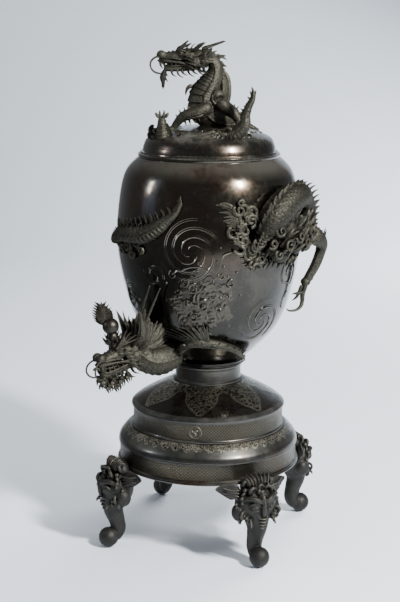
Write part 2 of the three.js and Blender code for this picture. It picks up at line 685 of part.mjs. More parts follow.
const TAIL_PATH = wallPath([
  [-16.5, 345, 2, 3], [-19.5, 326, 5, 6], [-24, 312, 6, 9], [-29, 299, 7, 12], [-34.5, 287, 7, 14],
  [-41, 278, 7, 15], [-49, 276, 7, 15], [-58, 273, 7, 14], [-67, 266, 6, 12], [-76, 256, 4, 10],
  [-84, 250, 1, 8],
]);
const tailFins = [0, 1, 2, 3, 4, 5, 6].map((i) => {
  const [turn, height] = [-22 - 6.3 * i, 324 - 9 * i + 0.6 * i * i];
  return wallSpike([turn - 1, height - 6, 8], [turn - 3, height + 11, 10], 6);
});
const tailSpikes = [[-60, 284, -63, 300], [-68, 270, -71, 284]].map(
  ([turn, height, tipTurn, tipHeight]) => wallSpike([turn, height, 8], [tipTurn, tipHeight, 14], 6),
);
const tailPiece = cut(
  joined(
    bar(TAIL_PATH, { sides: 6, steps: 1 }),
    tailFins,
    tailSpikes,
    wallSpike([-17.5, 338, 4], [-18.5, 356, 4], 4),
    scroll([-47, 264, 14, 6, 1]),
    scroll([-56, 250, 13, 6, -1]),
  ),
  vaseCutter,
);

// The jewel rests on the head's crown, in a flame, and is cast with its own collar.
const crownPoint = (x, y, z) => vector([x, y, z]).applyMatrix4(vaseHeadFrame).toArray();
const JEWEL = { radius: 16, rise: 42, ahead: 42 };
const jewelCentre = crownPoint(JEWEL.ahead, 0, JEWEL.rise);
const flamePoint = ([across, up]) => [
  jewelCentre[0] + across,
  jewelCentre[1] + 0.2 * across,
  jewelCentre[2] + 12 + up,
];
const flameLeaf = [
  [-15, 0], [6, -2], [17, 10], [8, 18], [-12, 38], [-18, 32], [-24, 30], [-27, 20], [-31, 16], [-24, 8],
].map(flamePoint);
const jewelStem = [[...crownPoint(38, 0, 6), 8], [...crownPoint(40, 0, 22), 11], [...jewelCentre, 9]];
const jewel = cut(
  joined(
    ball(jewelCentre, [JEWEL.radius, JEWEL.radius, JEWEL.radius], { width: 10, height: 8 }),
    bar(jewelStem, { sides: 7, steps: 1 }),
    [0, 1, 2].map((i) =>
      spike(crownPoint(44, 4 * i - 4, 22), crownPoint(60 - 3 * i, 8 * i - 8, 28 - 5 * i), 6)),
    plate(flameLeaf, 7),
  ),
  neckRoom,
  Object.values(vaseHead),
  placed(roomFor(headSolid), vaseHeadFrame),
);

// Studs cast on the dragon's back pass through the wall to nuts inside the vase.
const studs = {
  neck: { from: byWall([-38, 40, 12]), inner: byWall([-38, 72, -52]) },
  coil: { from: byWall([58, 330, 12]), inner: byWall([58, 330, -44]) },
  tail: { from: byWall([-43, 277, 6]), inner: byWall([-43, 277, -36]) },
};
const studRod = ({ from, inner }, grow = 0) => rod(from, inner, STUD.radius + grow);

// Where a stud comes out of the wall's inside, far enough in for a nut to clear the wall.
function seatInside({ from, inner }) {
  const probe = (distance) => ball(towards(from, inner, distance), [1, 1, 1], { width: 6, height: 4 });
  const touches = (distance) => intoOrnaments(vaseShell).intersect(probe(distance)).volume() > 0;
  let distance = 0;
  while (!touches(distance)) distance += 0.5;
  while (touches(distance)) distance += 0.5;
  return towards(from, inner, distance + 0.35 * STUD.headRadius);
}
const studHoles = Object.values(studs).map((stud) => outOfOrnaments(studRod(stud, SEAT_GAP)));

addPiece(part, 'vase_foot_ring', footRing, BRONZE.dark);
addPiece(part, 'vase_body', cut(vaseShell, studHoles), BRONZE.dark, { roughness: 0.25 });
addPiece(part, 'vase_mouth_ring', mouthRing, BRONZE.dark);
addPiece(part, 'ash_liner', liner, BRONZE.copper);
const neckPiece = joined(cut(neckBlank(0), vaseCutter), studRod(studs.neck));
addPiece(ornaments, 'vase_dragon_neck', neckPiece, BRONZE.olive);
for (const [piece, solid] of Object.entries(vaseHead)) {
  addPiece(ornaments, `vase_dragon_${piece}`, solid, BRONZE.olive);
}
addPiece(ornaments, 'vase_dragon_foreleg', forelegPiece, BRONZE.olive);
addPiece(ornaments, 'vase_dragon_coil', joined(coilPiece, studRod(studs.coil)), BRONZE.olive);
addPiece(ornaments, 'vase_dragon_hind_leg', hindPiece, BRONZE.olive);
addPiece(ornaments, 'vase_dragon_tail', joined(tailPiece, studRod(studs.tail)), BRONZE.olive);
addPiece(ornaments, 'vase_spray', spray, BRONZE.olive);
addPiece(ornaments, 'flaming_jewel', jewel, BRONZE.dark);
for (const [name, stud] of Object.entries(studs)) {
  addPiece(ornaments, `dragon_nut_${name}`, nut(seatInside(stud), stud.inner), BRONZE.copper);
}

// Lid

const lidBottom = seat + SEAT_GAP;
const lidRimTop = lidBottom + LID.rimHeight;
const apex = lidRimTop + LID.domeHeight;
const domeSide = smoothProfile([
  [LID.domeRadius - 0.5, lidRimTop + 0.16 * LID.domeHeight],
  [LID.domeRadius - 9, lidRimTop + 0.52 * LID.domeHeight],
  [LID.domeRadius - 30, apex - 0.27 * LID.domeHeight],
  [LID.domeRadius - 62, apex - 0.08 * LID.domeHeight],
  [0, apex],
], 6);
const lidOuter = [
  [LID.rimRadius - 3, lidBottom],
  [LID.rimRadius, lidBottom + 3],
  [LID.rimRadius, lidBottom + 6],
  [LID.rimRadius - 4, lidRimTop - 3],
  [LID.rimRadius - 5, lidRimTop],
  [LID.domeRadius, lidRimTop + 1],
  ...domeSide,
];
const lipRoom = MOUTH.lipRadius + RUNNING_GAP;
const lidFull = revolve([
  ...lidOuter,
  ...offsetProfile(domeSide, CAST_WALL).slice(1).reverse().map(([r, z], i) => [i ? r : 0, z]),
  [lipRoom, lidRimTop + 2],
  [lipRoom, lidBottom],
  lidOuter[0],
]);
// The lid's ornaments are set out from the top of its dome.
const onLid = new THREE.Group();
onLid.position.z = apex;
ornaments.add(onLid);
const lidCutter = intoOrnaments(revolve([
  [0, lidBottom],
  ...offsetProfile(lidOuter, -SEAT_GAP).slice(0, -1),
  [0, apex + SEAT_GAP],
])).translate([0, 0, -apex]);
const ventHoles = VENT.places.map(([x, y]) =>
  rod([x, y, -LID.domeHeight], [x, y, CAST_WALL], VENT.radius, 8));

// The dragon on the lid

const FINIAL_PATH = [
  [98, 30, -12, 3], [84, 32, -6, 5], [66, 34, 0, 10], [46, 32, 6, 17], [20, 20, 14, 26], [-6, 4, 28, 32],
  [-10, 0, 46, 33], [-8, 0, 64, 29], [0, 0, 82, 22], [8, 0, 97, 17], [11, 0, 111, 14], [6, 0, 124, 13],
  [-6, 0, 132, 12.5], [-20, 0, 134, 12],
];
const finialBlank = (grow) => bar(FINIAL_PATH, { sides: 8, steps: 1, grow });
const finialNape = FINIAL_PATH[FINIAL_PATH.length - 1];
const finialHeadFrame = headFrame(finialNape, [-1, -0.06, 0.02], [0, 0, 1], 1);
const finialRoom = joined(finialBlank(0), finialBlank(SEAT_GAP));
const leafBeard = plate([[64, 0, -32], [82, 0, -32], [88, 0, -46], [81, 0, -68], [70, 0, -54]], 9);
const finialStyle = {
  beard: leafBeard,
  mane: { locks: 7, reach: 38, tilts: [58, 112] },
  horns: { tilt: 72, reach: 45 },
};

const napeSpines = [
  [[6, 2, 138], [16, 4, 142]],
  [[12, 2, 134], [34, 4, 126]],
  [[18, 2, 120], [28, 4, 118]],
  [[20, 2, 108], [33, 4, 108]],
  [[18, 0, 98], [30, 2, 96]],
].map(([from, to]) => spike(from, to, 5));
const finialHead = headPieces(finialHeadFrame, finialStyle, [finialRoom, napeSpines]);
const backFin = plate([
  [12, 10, 104], [26, 10, 98], [37, 10, 84], [40, 10, 62], [36, 10, 40], [16, 10, 30],
], 9);
const chestSpike = bar([[-32, -6, 78, 5], [-42, -8, 73, 4], [-46, -8, 58, 1]], { sides: 4, steps: 1 });
const forelegLeft = (grow) => bar([
  [4, -24, 40, 15], [-16, -32, 31, 13], [-36, -34, 25, 11], [-52, -32, 18, 9.5], [-63, -30, 6, 7.5],
  [-71, -30, -7, 6],
], { sides: 6, steps: 1, grow });
const forelegRight = (grow) => bar([
  [16, -22, 50, 15], [30, -28, 38, 13], [46, -32, 27, 11], [57, -34, 12, 8], [56, -40, -6, 6],
], { sides: 6, steps: 1, grow });
const elbowSpines = (points) => points.map(([from, to]) => spike(from, to, 5));
const finialStud = (grow) => rod(
  [6, 8, -CAST_WALL - STUD.headHeight - 6 - grow],
  [6, 8, 3 * CAST_WALL],
  STUD.radius + grow,
);
const finialBody = joined(
  cut(
    joined(finialBlank(0), napeSpines, backFin, chestSpike),
    forelegLeft(SEAT_GAP),
    forelegRight(SEAT_GAP),
    lidCutter,
  ),
  finialStud(0),
);
const leftPaw = clawSolid([-73, -31, -4], [-1, -0.3, -0.1], [-0.2, 0, -1], 8);
const leftForeleg = cut(
  joined(forelegLeft(0), leftPaw, elbowSpines([
    [[-46, -33, 24], [-49, -33, 39]], [[-52, -33, 21], [-59, -33, 34]], [[-48, -34, 14], [-44, -36, 3]],
    [[-30, -34, 18], [-26, -36, 6]],
  ])),
  lidCutter,
);
const rightForeleg = cut(
  joined(forelegRight(0), clawSolid([56, -42, -4], [-0.4, -1, -0.1], [0, -0.2, -1], 7), elbowSpines([
    [[48, -33, 32], [58, -34, 40]], [[54, -34, 24], [68, -35, 32]], [[56, -35, 14], [70, -36, 20]],
    [[57, -36, 6], [68, -38, 6]],
  ])),
  forelegLeft(0),
  forelegLeft(SEAT_GAP),
  lidCutter,
);
const tailOnLid = cut(
  joined(
    bar([
      [8, -84, -14, 10], [30, -88, -13, 13], [52, -90, -7, 13], [67, -88, 8, 11], [69, -86, 26, 9],
      [74, -85, 42, 7.5], [81, -84, 56, 6], [83, -84, 68, 3.5], [79, -84, 80, 0.9],
    ], { sides: 6, steps: 1 }),
    [
      [[68, -86, 24], [58, -87, 41]], [[70, -86, 32], [64, -87, 46]], [[78, -85, 52], [70, -86, 62]],
      [[80, -84, 62], [75, -85, 72]], [[20, -90, -10], [-4, -100, -7]], [[22, -94, -14], [6, -106, -16]],
      [[30, -92, -10], [20, -110, -20]],
    ].map(([from, to]) => spike(from, to, 7, 4)),
  ),
  lidCutter,
);
const raisedClaw = cut(
  joined(
    bar([
      [-88, -62, -32, 16], [-90, -62, -8, 12], [-90, -62, 10, 9], [-90, -62, 22, 7],
    ], { sides: 7, steps: 1 }),
    [[-7, 34], [0, 36], [7, 34]].map(([across, up]) =>
      spike([-90 + 0.6 * across, -62, 20], [-90 + across, -62, up], 4, 4)),
    spike([-84, -60, 8], [-72, -58, -4], 9, 4),
  ),
  lidCutter,
);
const waveCrest = cut(
  joined(
    ball([-98, -36, -24], [17, 16, 16], { width: 7 }),
    bar([
      [-100, -40, -22, 13], [-108, -38, -8, 9], [-108, -38, 2, 7], [-100, -38, 8, 4], [-94, -38, 4, 2],
    ], { sides: 6, steps: 1 }),
    ball([-110, -36, -12], [8, 8, 8]),
  ),
  raisedClaw,
  lidCutter,
);
const finialHole = finialStud(SEAT_GAP);
const lidHoles = [...ventHoles, finialHole].map((hole) => outOfOrnaments(hole).translate([0, 0, apex]));
const finialNutSeat = [6, 8, -CAST_WALL - 1.5];

addPiece(part, 'lid_dome', cut(lidFull, lidHoles), BRONZE.dark, { roughness: 0.3 });
addPiece(onLid, 'finial_dragon_body', finialBody, BRONZE.olive);
for (const [piece, solid] of Object.entries(finialHead)) {
  addPiece(onLid, `finial_dragon_${piece}`, solid, BRONZE.olive);
}
addPiece(onLid, 'finial_dragon_foreleg_left', leftForeleg, BRONZE.olive);
addPiece(onLid, 'finial_dragon_foreleg_right', rightForeleg, BRONZE.olive);
addPiece(onLid, 'finial_dragon_tail', tailOnLid, BRONZE.olive);
addPiece(onLid, 'lid_raised_claw', raisedClaw, BRONZE.olive);
addPiece(onLid, 'lid_wave_crest', waveCrest, BRONZE.olive);
addPiece(onLid, 'finial_nut', nut(finialNutSeat, [6, 8, -LID.domeHeight]), BRONZE.copper);

export default part;
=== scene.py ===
"""The looks of a covered bronze floor vase on a four-legged stand, with dragons in the round."""

import json
import math

import bpy
import numpy as np
from mathutils import Matrix, Vector, noise

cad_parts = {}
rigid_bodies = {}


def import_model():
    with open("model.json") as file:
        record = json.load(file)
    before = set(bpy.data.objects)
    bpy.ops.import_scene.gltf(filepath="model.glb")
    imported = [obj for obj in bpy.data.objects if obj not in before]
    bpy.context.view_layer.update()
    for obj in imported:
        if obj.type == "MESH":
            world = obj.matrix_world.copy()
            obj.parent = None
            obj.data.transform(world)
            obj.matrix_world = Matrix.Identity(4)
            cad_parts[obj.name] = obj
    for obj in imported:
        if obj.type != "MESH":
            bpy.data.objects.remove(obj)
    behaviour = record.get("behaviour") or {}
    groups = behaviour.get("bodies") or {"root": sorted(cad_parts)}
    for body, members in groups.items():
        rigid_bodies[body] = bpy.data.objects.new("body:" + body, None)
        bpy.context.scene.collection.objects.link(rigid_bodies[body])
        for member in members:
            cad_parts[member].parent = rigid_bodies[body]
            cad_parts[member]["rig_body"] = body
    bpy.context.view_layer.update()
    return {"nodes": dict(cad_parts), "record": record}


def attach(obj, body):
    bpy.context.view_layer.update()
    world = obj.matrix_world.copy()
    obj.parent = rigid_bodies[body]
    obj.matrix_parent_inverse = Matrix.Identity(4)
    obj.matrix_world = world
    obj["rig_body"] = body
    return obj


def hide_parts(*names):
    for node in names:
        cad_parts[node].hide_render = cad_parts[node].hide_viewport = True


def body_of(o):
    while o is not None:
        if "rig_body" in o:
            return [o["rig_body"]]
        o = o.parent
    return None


bl_info = {
    "name": "Covered bronze floor vase",
    "version": (1, 0, 0),
    "blender": (4, 5, 0),
    "location": "View3D > Sidebar > Bronze Vase",
    "description": "Models the turned, cast and chased surfaces of a bronze floor vase on its stand",
    "category": "Add Mesh",
}

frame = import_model()
slots = {part["node"]: part["material_slot"] for part in frame["record"]["subparts"]}
MM = 0.001
VASE_BOTTOM = 361.6
LID_TOP = 833.4
LEG_ANGLES = {"front_right": -45, "back_right": 45, "back_left": 135, "front_left": 225}
LID_VENTS = [(-56, -78), (20, -92), (74, -66), (96, 20), (30, 92), (-70, 66)]

VASE_OUTLINE = [
    (72, 373.3), (84, 384), (100, 399), (131, 432), (152, 470), (167, 520), (178, 575),
    (181.7, 628), (179, 673), (171.5, 723), (160, 753), (139, 774.5),
]
DOME_OUTLINE = [(129.5, 793.8), (121, 810.8), (100, 821), (68, 830), (0, 834)]

# Each whirlpool's turn from the show side, height above the vase's underside, reach, arms and turns
WHIRLPOOLS = [
    (-10.5, 252, 62, 3, 1.2), (-36, 203, 22, 2, 0.8), (42, 108, 46, 3, 0.9), (62, 196, 30, 2, 0.9),
    (-64, 150, 30, 3, 0.9), (120, 240, 56, 3, 1.2), (185, 210, 62, 3, 1.2), (235, 250, 48, 3, 1.1),
]

UPRIGHT = (0, 0, 1)
FORWARD = (1, 0, 0)

# Without a seed the foam's drift is another one on each run
FOAM_SEED = 1


# Settings

class VaseSizes(bpy.types.PropertyGroup):
    """Sizes of the pieces, in metres, and the turn of the ornaments."""
    around: bpy.props.IntProperty(
        name="Steps around", description="Faces around each turned piece", default=144, min=24)
    wall: bpy.props.FloatProperty(
        name="Wall", description="Thickness of the cast walls", default=0.005, unit="LENGTH")
    scale: bpy.props.FloatProperty(
        name="Scale size", description="Width of one of the dragons' scales", default=0.0075, unit="LENGTH")
    ornament_turn: bpy.props.FloatProperty(
        name="Ornament turn", description="Turn of the dragons about the vase's axis from the legs' frame",
        default=math.radians(18), subtype="ANGLE")


class VaseColours(bpy.types.PropertyGroup):
    """Colours of the patina."""
    dark: bpy.props.FloatVectorProperty(
        name="Dark patina", description="Base colour of the polished vase", subtype="COLOR",
        size=4, default=(0.054, 0.048, 0.038, 1))
    russet: bpy.props.FloatVectorProperty(
        name="Russet patina", description="Reddish brown clouds on the polished vase", subtype="COLOR",
        size=4, default=(0.060, 0.036, 0.023, 1))
    slate: bpy.props.FloatVectorProperty(
        name="Slate patina", description="Grey brown of the stand and the masks", subtype="COLOR",
        size=4, default=(0.060, 0.058, 0.053, 1))
    olive: bpy.props.FloatVectorProperty(
        name="Olive patina", description="Greyish olive of the dragons", subtype="COLOR",
        size=4, default=(0.076, 0.072, 0.055, 1))
    # This colour is real grime in spots, seams and hollows, and also painted shade: in the chased work's
    # occluded hollows and towards the vase's bottom
    grime_and_shade: bpy.props.FloatVectorProperty(
        name="Grime", description="Darkness in the hollows of the chased work", subtype="COLOR",
        size=4, default=(0.010, 0.009, 0.007, 1))
    rubbed: bpy.props.FloatVectorProperty(
        name="Rubbed bronze", description="Edges where the patina has worn thin", subtype="COLOR",
        size=4, default=(0.27, 0.25, 0.19, 1))
    dust: bpy.props.FloatVectorProperty(
        name="Dust", description="Greenish grey dust that settles on what faces up", subtype="COLOR",
        size=4, default=(0.125, 0.125, 0.105, 1))
    copper: bpy.props.FloatVectorProperty(
        name="Liner copper", description="Tarnished copper of the liner and the nuts", subtype="COLOR",
        size=4, default=(0.30, 0.13, 0.07, 1))


class VaseView(bpy.types.PropertyGroup):
    """Where the photograph was taken from, and its lens."""
    distance: bpy.props.FloatProperty(
        name="Distance", description="Level distance from the vase's axis to the camera",
        default=2.60746, unit="LENGTH")
    height: bpy.props.FloatProperty(
        name="Height", description="Camera's height above the floor", default=1.053885, unit="LENGTH")
    side: bpy.props.FloatProperty(
        name="Side", description="How far the camera stands round from the front", default=math.radians(18),
        subtype="ANGLE")
    aim: bpy.props.FloatProperty(
        name="Aim", description="Turn of the camera to the left of the axis", default=math.radians(0.3705),
        subtype="ANGLE")
    pitch: bpy.props.FloatProperty(
        name="Pitch", description="How far the camera looks down", default=math.radians(12.344),
        subtype="ANGLE")
    roll: bpy.props.FloatProperty(
        name="Roll", description="Tilt of the camera about its view line", default=math.radians(0.198),
        subtype="ANGLE")
    lens: bpy.props.FloatProperty(
        name="Lens", description="Focal length in millimetres on a 24 mm high frame", default=53.052)


# Materials

def new_material(name):
    material = bpy.data.materials.new(name)
    material.use_nodes = True
    tree = material.node_tree
    shader = tree.nodes["Principled BSDF"]
    return material, tree, shader


def shade_of(colour, share):
    """A colour made darker or lighter by a share."""
    return tuple(share * value for value in tuple(colour)[:3]) + (1,)


def add_node(tree, kind, **values):
    """A node with the given properties and input values."""
    node = tree.nodes.new(kind)
    for key, value in values.items():
        if key in node.inputs:
            node.inputs[key].default_value = value
        else:
            setattr(node, key, value)
    return node


def math_node(tree, operation, first, second=0.0):
    """A math node whose inputs are sockets or numbers."""
    node = tree.nodes.new("ShaderNodeMath")
    node.operation = operation
    for index, value in enumerate((first, second)):
        if isinstance(value, (int, float)):
            node.inputs[index].default_value = value
        else:
            tree.links.new(value, node.inputs[index])
    return node.outputs[0]


def spread(tree, value, low, high, to_low=0.0, to_high=1.0):
    """Maps a socket's values from low..high to another range, and stops at its ends."""
    node = tree.nodes.new("ShaderNodeMapRange")
    tree.links.new(value, node.inputs["Value"])
    for name, number in zip(("From Min", "From Max", "To Min", "To Max"), (low, high, to_low, to_high)):
        node.inputs[name].default_value = number
    return node.outputs["Result"]


def blend(tree, share, first, second):
    """A colour between two, which are sockets or colours."""
    node = tree.nodes.new("ShaderNodeMix")
    node.data_type = "RGBA"
    tree.links.new(share, node.inputs["Factor"])
    for slot, colour in (("A", first), ("B", second)):
        if isinstance(colour, tuple):
            node.inputs[slot].default_value = colour
        else:
            tree.links.new(colour, node.inputs[slot])
    return node.outputs["Result"]


def clouds(tree, place, scale, detail=5.0, rough=0.6):
    node = add_node(tree, "ShaderNodeTexNoise", Scale=scale, Detail=detail, Roughness=rough)
    tree.links.new(place, node.inputs["Vector"])
    return node.outputs["Fac"]


def polished(name, patina, russet_from, rough, wax, heights=None, mottle=8.0, dust=0.5):
    """Waxed dark bronze: nearly black, with russet clouds, a faint grain and small dull spots.

    Between the two heights, if given, it goes from dark to hazy: towards the bottom it is darkened with
    painted shade, which dims the floor's reflection, and towards the top it has more russet, more haze and
    fewer dull spots; dust is how much settles on it."""
    colours = bpy.context.scene.vase_colours
    material, tree, shader = new_material(name)
    place = tree.nodes.new("ShaderNodeTexCoord").outputs["Object"]
    broad = clouds(tree, place, 0.7 * mottle, 7.0, 0.62)
    fine = clouds(tree, place, 70.0)
    hazy = clouds(tree, place, mottle, 6.0, 0.7)
    dull = clouds(tree, place, 26.0, 8.0, 0.7)
    # The heights give painted shade towards the bottom, and more russet and haze towards the top
    if heights:
        split = tree.nodes.new("ShaderNodeSeparateXYZ")
        tree.links.new(place, split.inputs[0])
        level = spread(tree, split.outputs["Z"], heights[0], heights[1], -0.3, 0.13)
        broad = math_node(tree, "ADD", broad, level)
        hazy = math_node(tree, "ADD", hazy, level)
        dull = math_node(tree, "SUBTRACT", dull, level)
    russet = spread(tree, broad, russet_from, russet_from + 0.14)
    colour = blend(tree, russet, tuple(getattr(colours, patina)), tuple(colours.russet))
    haze = spread(tree, hazy, 0.52, 0.7, 0.0, 0.8)
    colour = blend(tree, haze, colour, tuple(colours.olive))
    spots = spread(tree, dull, 0.54, 0.74, 0.0, 0.65)
    colour = blend(tree, spots, colour, tuple(colours.grime_and_shade))
    # Painted shade: the lower part is blended towards the dark colour, which stands in for a dim reflection
    # of the floor
    if heights:
        low = spread(tree, split.outputs["Z"], heights[0], 0.2 * heights[0] + 0.8 * heights[1], 0.75, 0.0)
        colour = blend(tree, low, colour, tuple(colours.grime_and_shade))
    geometry = tree.nodes.new("ShaderNodeNewGeometry")
    worn = spread(tree, geometry.outputs["Pointiness"], 0.54, 0.66, 0.0, 0.6)
    colour = blend(tree, worn, colour, tuple(colours.rubbed))
    facing = tree.nodes.new("ShaderNodeSeparateXYZ")
    tree.links.new(geometry.outputs["Normal"], facing.inputs[0])
    upward = spread(tree, facing.outputs["Z"], 0.35, 0.97)
    settled = math_node(tree, "MULTIPLY", upward, spread(tree, hazy, 0.42, 0.6, 0.15 * dust, dust))
    freckles = spread(tree, clouds(tree, place, 180.0, 3.0), 0.56, 0.74, 0.0, 0.22 * dust)
    settled = math_node(tree, "MAXIMUM", settled, freckles)
    colour = blend(tree, settled, colour, tuple(colours.dust))
    tree.links.new(colour, shader.inputs["Base Color"])
    tree.links.new(spread(tree, fine, 0.3, 0.7, rough[0], rough[1]), shader.inputs["Roughness"])
    bump = add_node(tree, "ShaderNodeBump", Strength=0.08, Distance=0.0003)
    tree.links.new(fine, bump.inputs["Height"])
    tree.links.new(bump.outputs["Normal"], shader.inputs["Normal"])
    tree.links.new(spread(tree, settled, 0.0, 1.0, 1.0, 0.0), shader.inputs["Metallic"])
    shader.inputs["Coat Weight"].default_value = wax
    shader.inputs["Coat Roughness"].default_value = 0.13
    return material


def chased(name, patina, rough, depth=1.0, wear=0.5, grain=0.35, skin=0.55, edges=(0.55, 0.78)):
    """Chased bronze: grime in the hollows with painted shade where the work shuts out light, rubbed edges
    and a fine scaly grain, as dark as skin says.
    """
    colours = bpy.context.scene.vase_colours
    # For the coil the depth darkens the patina as painted shade
    body = shade_of(getattr(colours, patina), depth)
    material, tree, shader = new_material(name)
    place = tree.nodes.new("ShaderNodeTexCoord").outputs["Object"]
    broad = clouds(tree, place, 22.0, 6.0)
    fine = clouds(tree, place, 330.0, 4.0)
    colour = blend(tree, spread(tree, broad, 0.36, 0.64), shade_of(body, 0.62), body)
    geometry = tree.nodes.new("ShaderNodeNewGeometry")
    point = geometry.outputs["Pointiness"]
    hollow = spread(tree, point, 0.5, 0.42)
    # Painted shade: ambient occlusion darkens the colour where nearby parts shut out light; the pointiness
    # hollows are grime
    painted_occlusion = add_node(tree, "ShaderNodeAmbientOcclusion", Distance=0.012, samples=4, only_local=True)
    painted_shade = spread(tree, painted_occlusion.outputs["AO"], 0.82, 0.35)
    cells = add_node(tree, "ShaderNodeTexVoronoi", Scale=300.0)
    tree.links.new(place, cells.inputs["Vector"])
    seams = spread(tree, cells.outputs["Distance"], 0.4, 0.8, 0.0, skin)
    colour = blend(tree, seams, colour, tuple(colours.grime_and_shade))
    colour = blend(tree, math_node(tree, "MAXIMUM", hollow, painted_shade), colour, tuple(colours.grime_and_shade))
    worn = spread(tree, point, *edges, 0.0, wear)
    colour = blend(tree, worn, colour, tuple(colours.rubbed))
    tree.links.new(colour, shader.inputs["Base Color"])
    tree.links.new(spread(tree, fine, 0.3, 0.7, rough[0], rough[1]), shader.inputs["Roughness"])
    bump = add_node(tree, "ShaderNodeBump", Strength=grain, Distance=0.0008)
    tree.links.new(math_node(tree, "SUBTRACT", fine, seams), bump.inputs["Height"])
    tree.links.new(bump.outputs["Normal"], shader.inputs["Normal"])
    shader.inputs["Metallic"].default_value = 0.9
    return material


def raise_pattern(material, pattern, depth, light, ground):
    """Casts a pattern, given as a socket from 0 to 1, over a material: raised and rubbed lighter.

    ground is the share of grime in the flat part, as a number or a socket."""
    tree = material.node_tree
    shader = tree.nodes["Principled BSDF"]
    bump = add_node(tree, "ShaderNodeBump", Strength=0.9, Distance=depth)
    tree.links.new(pattern, bump.inputs["Height"])
    tree.links.new(shader.inputs["Normal"].links[0].from_socket, bump.inputs["Normal"])
    tree.links.new(bump.outputs["Normal"], shader.inputs["Normal"])
    grime_and_shade = tuple(bpy.context.scene.vase_colours.grime_and_shade)
    plain = shader.inputs["Base Color"].links[0].from_socket
    colour = blend(tree, math_node(tree, "ADD", 0.0, ground), plain, grime_and_shade)
    share = math_node(tree, "MULTIPLY", pattern, 0.8)
    tree.links.new(blend(tree, share, colour, light), shader.inputs["Base Color"])
    return material


def cylindrical(tree):
    """The turn about the vase's axis, the distance from it and the height, as sockets."""
    place = tree.nodes.new("ShaderNodeTexCoord")
    split = tree.nodes.new("ShaderNodeSeparateXYZ")
    tree.links.new(place.outputs["Object"], split.inputs[0])
    across, away, height = split.outputs
    turn = math_node(tree, "ARCTAN2", away, across)
    squares = math_node(tree, "ADD", math_node(tree, "POWER", across, 2), math_node(tree, "POWER", away, 2))
    return turn, math_node(tree, "POWER", squares, 0.5), height


def cell(tree, value):
    """How far a value is from the middle of its unit cell, from 0 to 0.5."""
    part = math_node(tree, "FRACT", math_node(tree, "ADD", value, 1000))
    return math_node(tree, "ABSOLUTE", math_node(tree, "SUBTRACT", part, 0.5))


def diaper(material, around, pitch, light):
    """A diaper of crossing bars with a square boss in each lozenge."""
    tree = material.node_tree
    turn, _, height = cylindrical(tree)
    across = math_node(tree, "MULTIPLY", turn, around / (2 * math.pi))
    up = math_node(tree, "MULTIPLY", height, 1 / pitch)
    lattice = [cell(tree, math_node(tree, way, across, up)) for way in ("ADD", "SUBTRACT")]
    far = math_node(tree, "MAXIMUM", *lattice)
    bars = math_node(tree, "GREATER_THAN", far, 0.41)
    boss = math_node(tree, "LESS_THAN", far, 0.13)
    return raise_pattern(material, math_node(tree, "ADD", bars, boss), 0.0012, light, 0.6)


def lace(material, light, count, first, top, bottom, outline, scale):
    """Hanging lappets of engraved lace on a dome, and a ring of lace above them.

    outline gives each lappet's half width, as a share of its spacing, from its root at top to its tip."""
    tree = material.node_tree
    turn, away, height = cylindrical(tree)
    place = tree.nodes.new("ShaderNodeTexCoord").outputs["Object"]
    turned_by = math_node(tree, "MULTIPLY", math_node(tree, "SUBTRACT", turn, first), count / (2 * math.pi))
    across = cell(tree, math_node(tree, "ADD", turned_by, 0.5))
    down = spread(tree, height, top, bottom)
    curve = tree.nodes.new("ShaderNodeValToRGB")
    curve.color_ramp.interpolation = "B_SPLINE"
    stops = curve.color_ramp.elements
    while len(stops) < len(outline):
        stops.new(0.5)
    for stop, (share, width) in zip(stops, outline):
        stop.position = share
        stop.color = (2 * width, 2 * width, 2 * width, 1)
    tree.links.new(down, curve.inputs["Fac"])
    width = math_node(tree, "MULTIPLY", curve.outputs["Color"], 0.5)
    inside = math_node(tree, "SUBTRACT", width, across)
    filled = math_node(tree, "GREATER_THAN", inside, 0.0)
    rim = math_node(tree, "LESS_THAN", math_node(tree, "ABSOLUTE", inside), 0.018)
    drift = add_node(tree, "ShaderNodeTexNoise", Scale=90.0, Detail=1.0)
    tree.links.new(place, drift.inputs["Vector"])
    warp = tree.nodes.new("ShaderNodeVectorMath")
    warp.operation = "MULTIPLY_ADD"
    warp.inputs[1].default_value = (0.016, 0.016, 0.016)
    tree.links.new(drift.outputs["Color"], warp.inputs[0])
    tree.links.new(place, warp.inputs[2])
    vein = add_node(tree, "ShaderNodeTexVoronoi", feature="DISTANCE_TO_EDGE", Scale=scale)
    tree.links.new(warp.outputs[0], vein.inputs["Vector"])
    threads = math_node(tree, "LESS_THAN", vein.outputs["Distance"], 0.11)
    pattern = math_node(tree, "MAXIMUM", math_node(tree, "MULTIPLY", filled, threads), rim)
    above = math_node(tree, "LESS_THAN", height, top)
    below = math_node(tree, "GREATER_THAN", height, bottom)
    hung = math_node(tree, "MULTIPLY", pattern, math_node(tree, "MULTIPLY", above, below))
    shade = math_node(tree, "MULTIPLY", filled, math_node(tree, "MULTIPLY", above, below))
    return raise_pattern(material, hung, 0.0007, light, math_node(tree, "MULTIPLY", shade, 0.55))


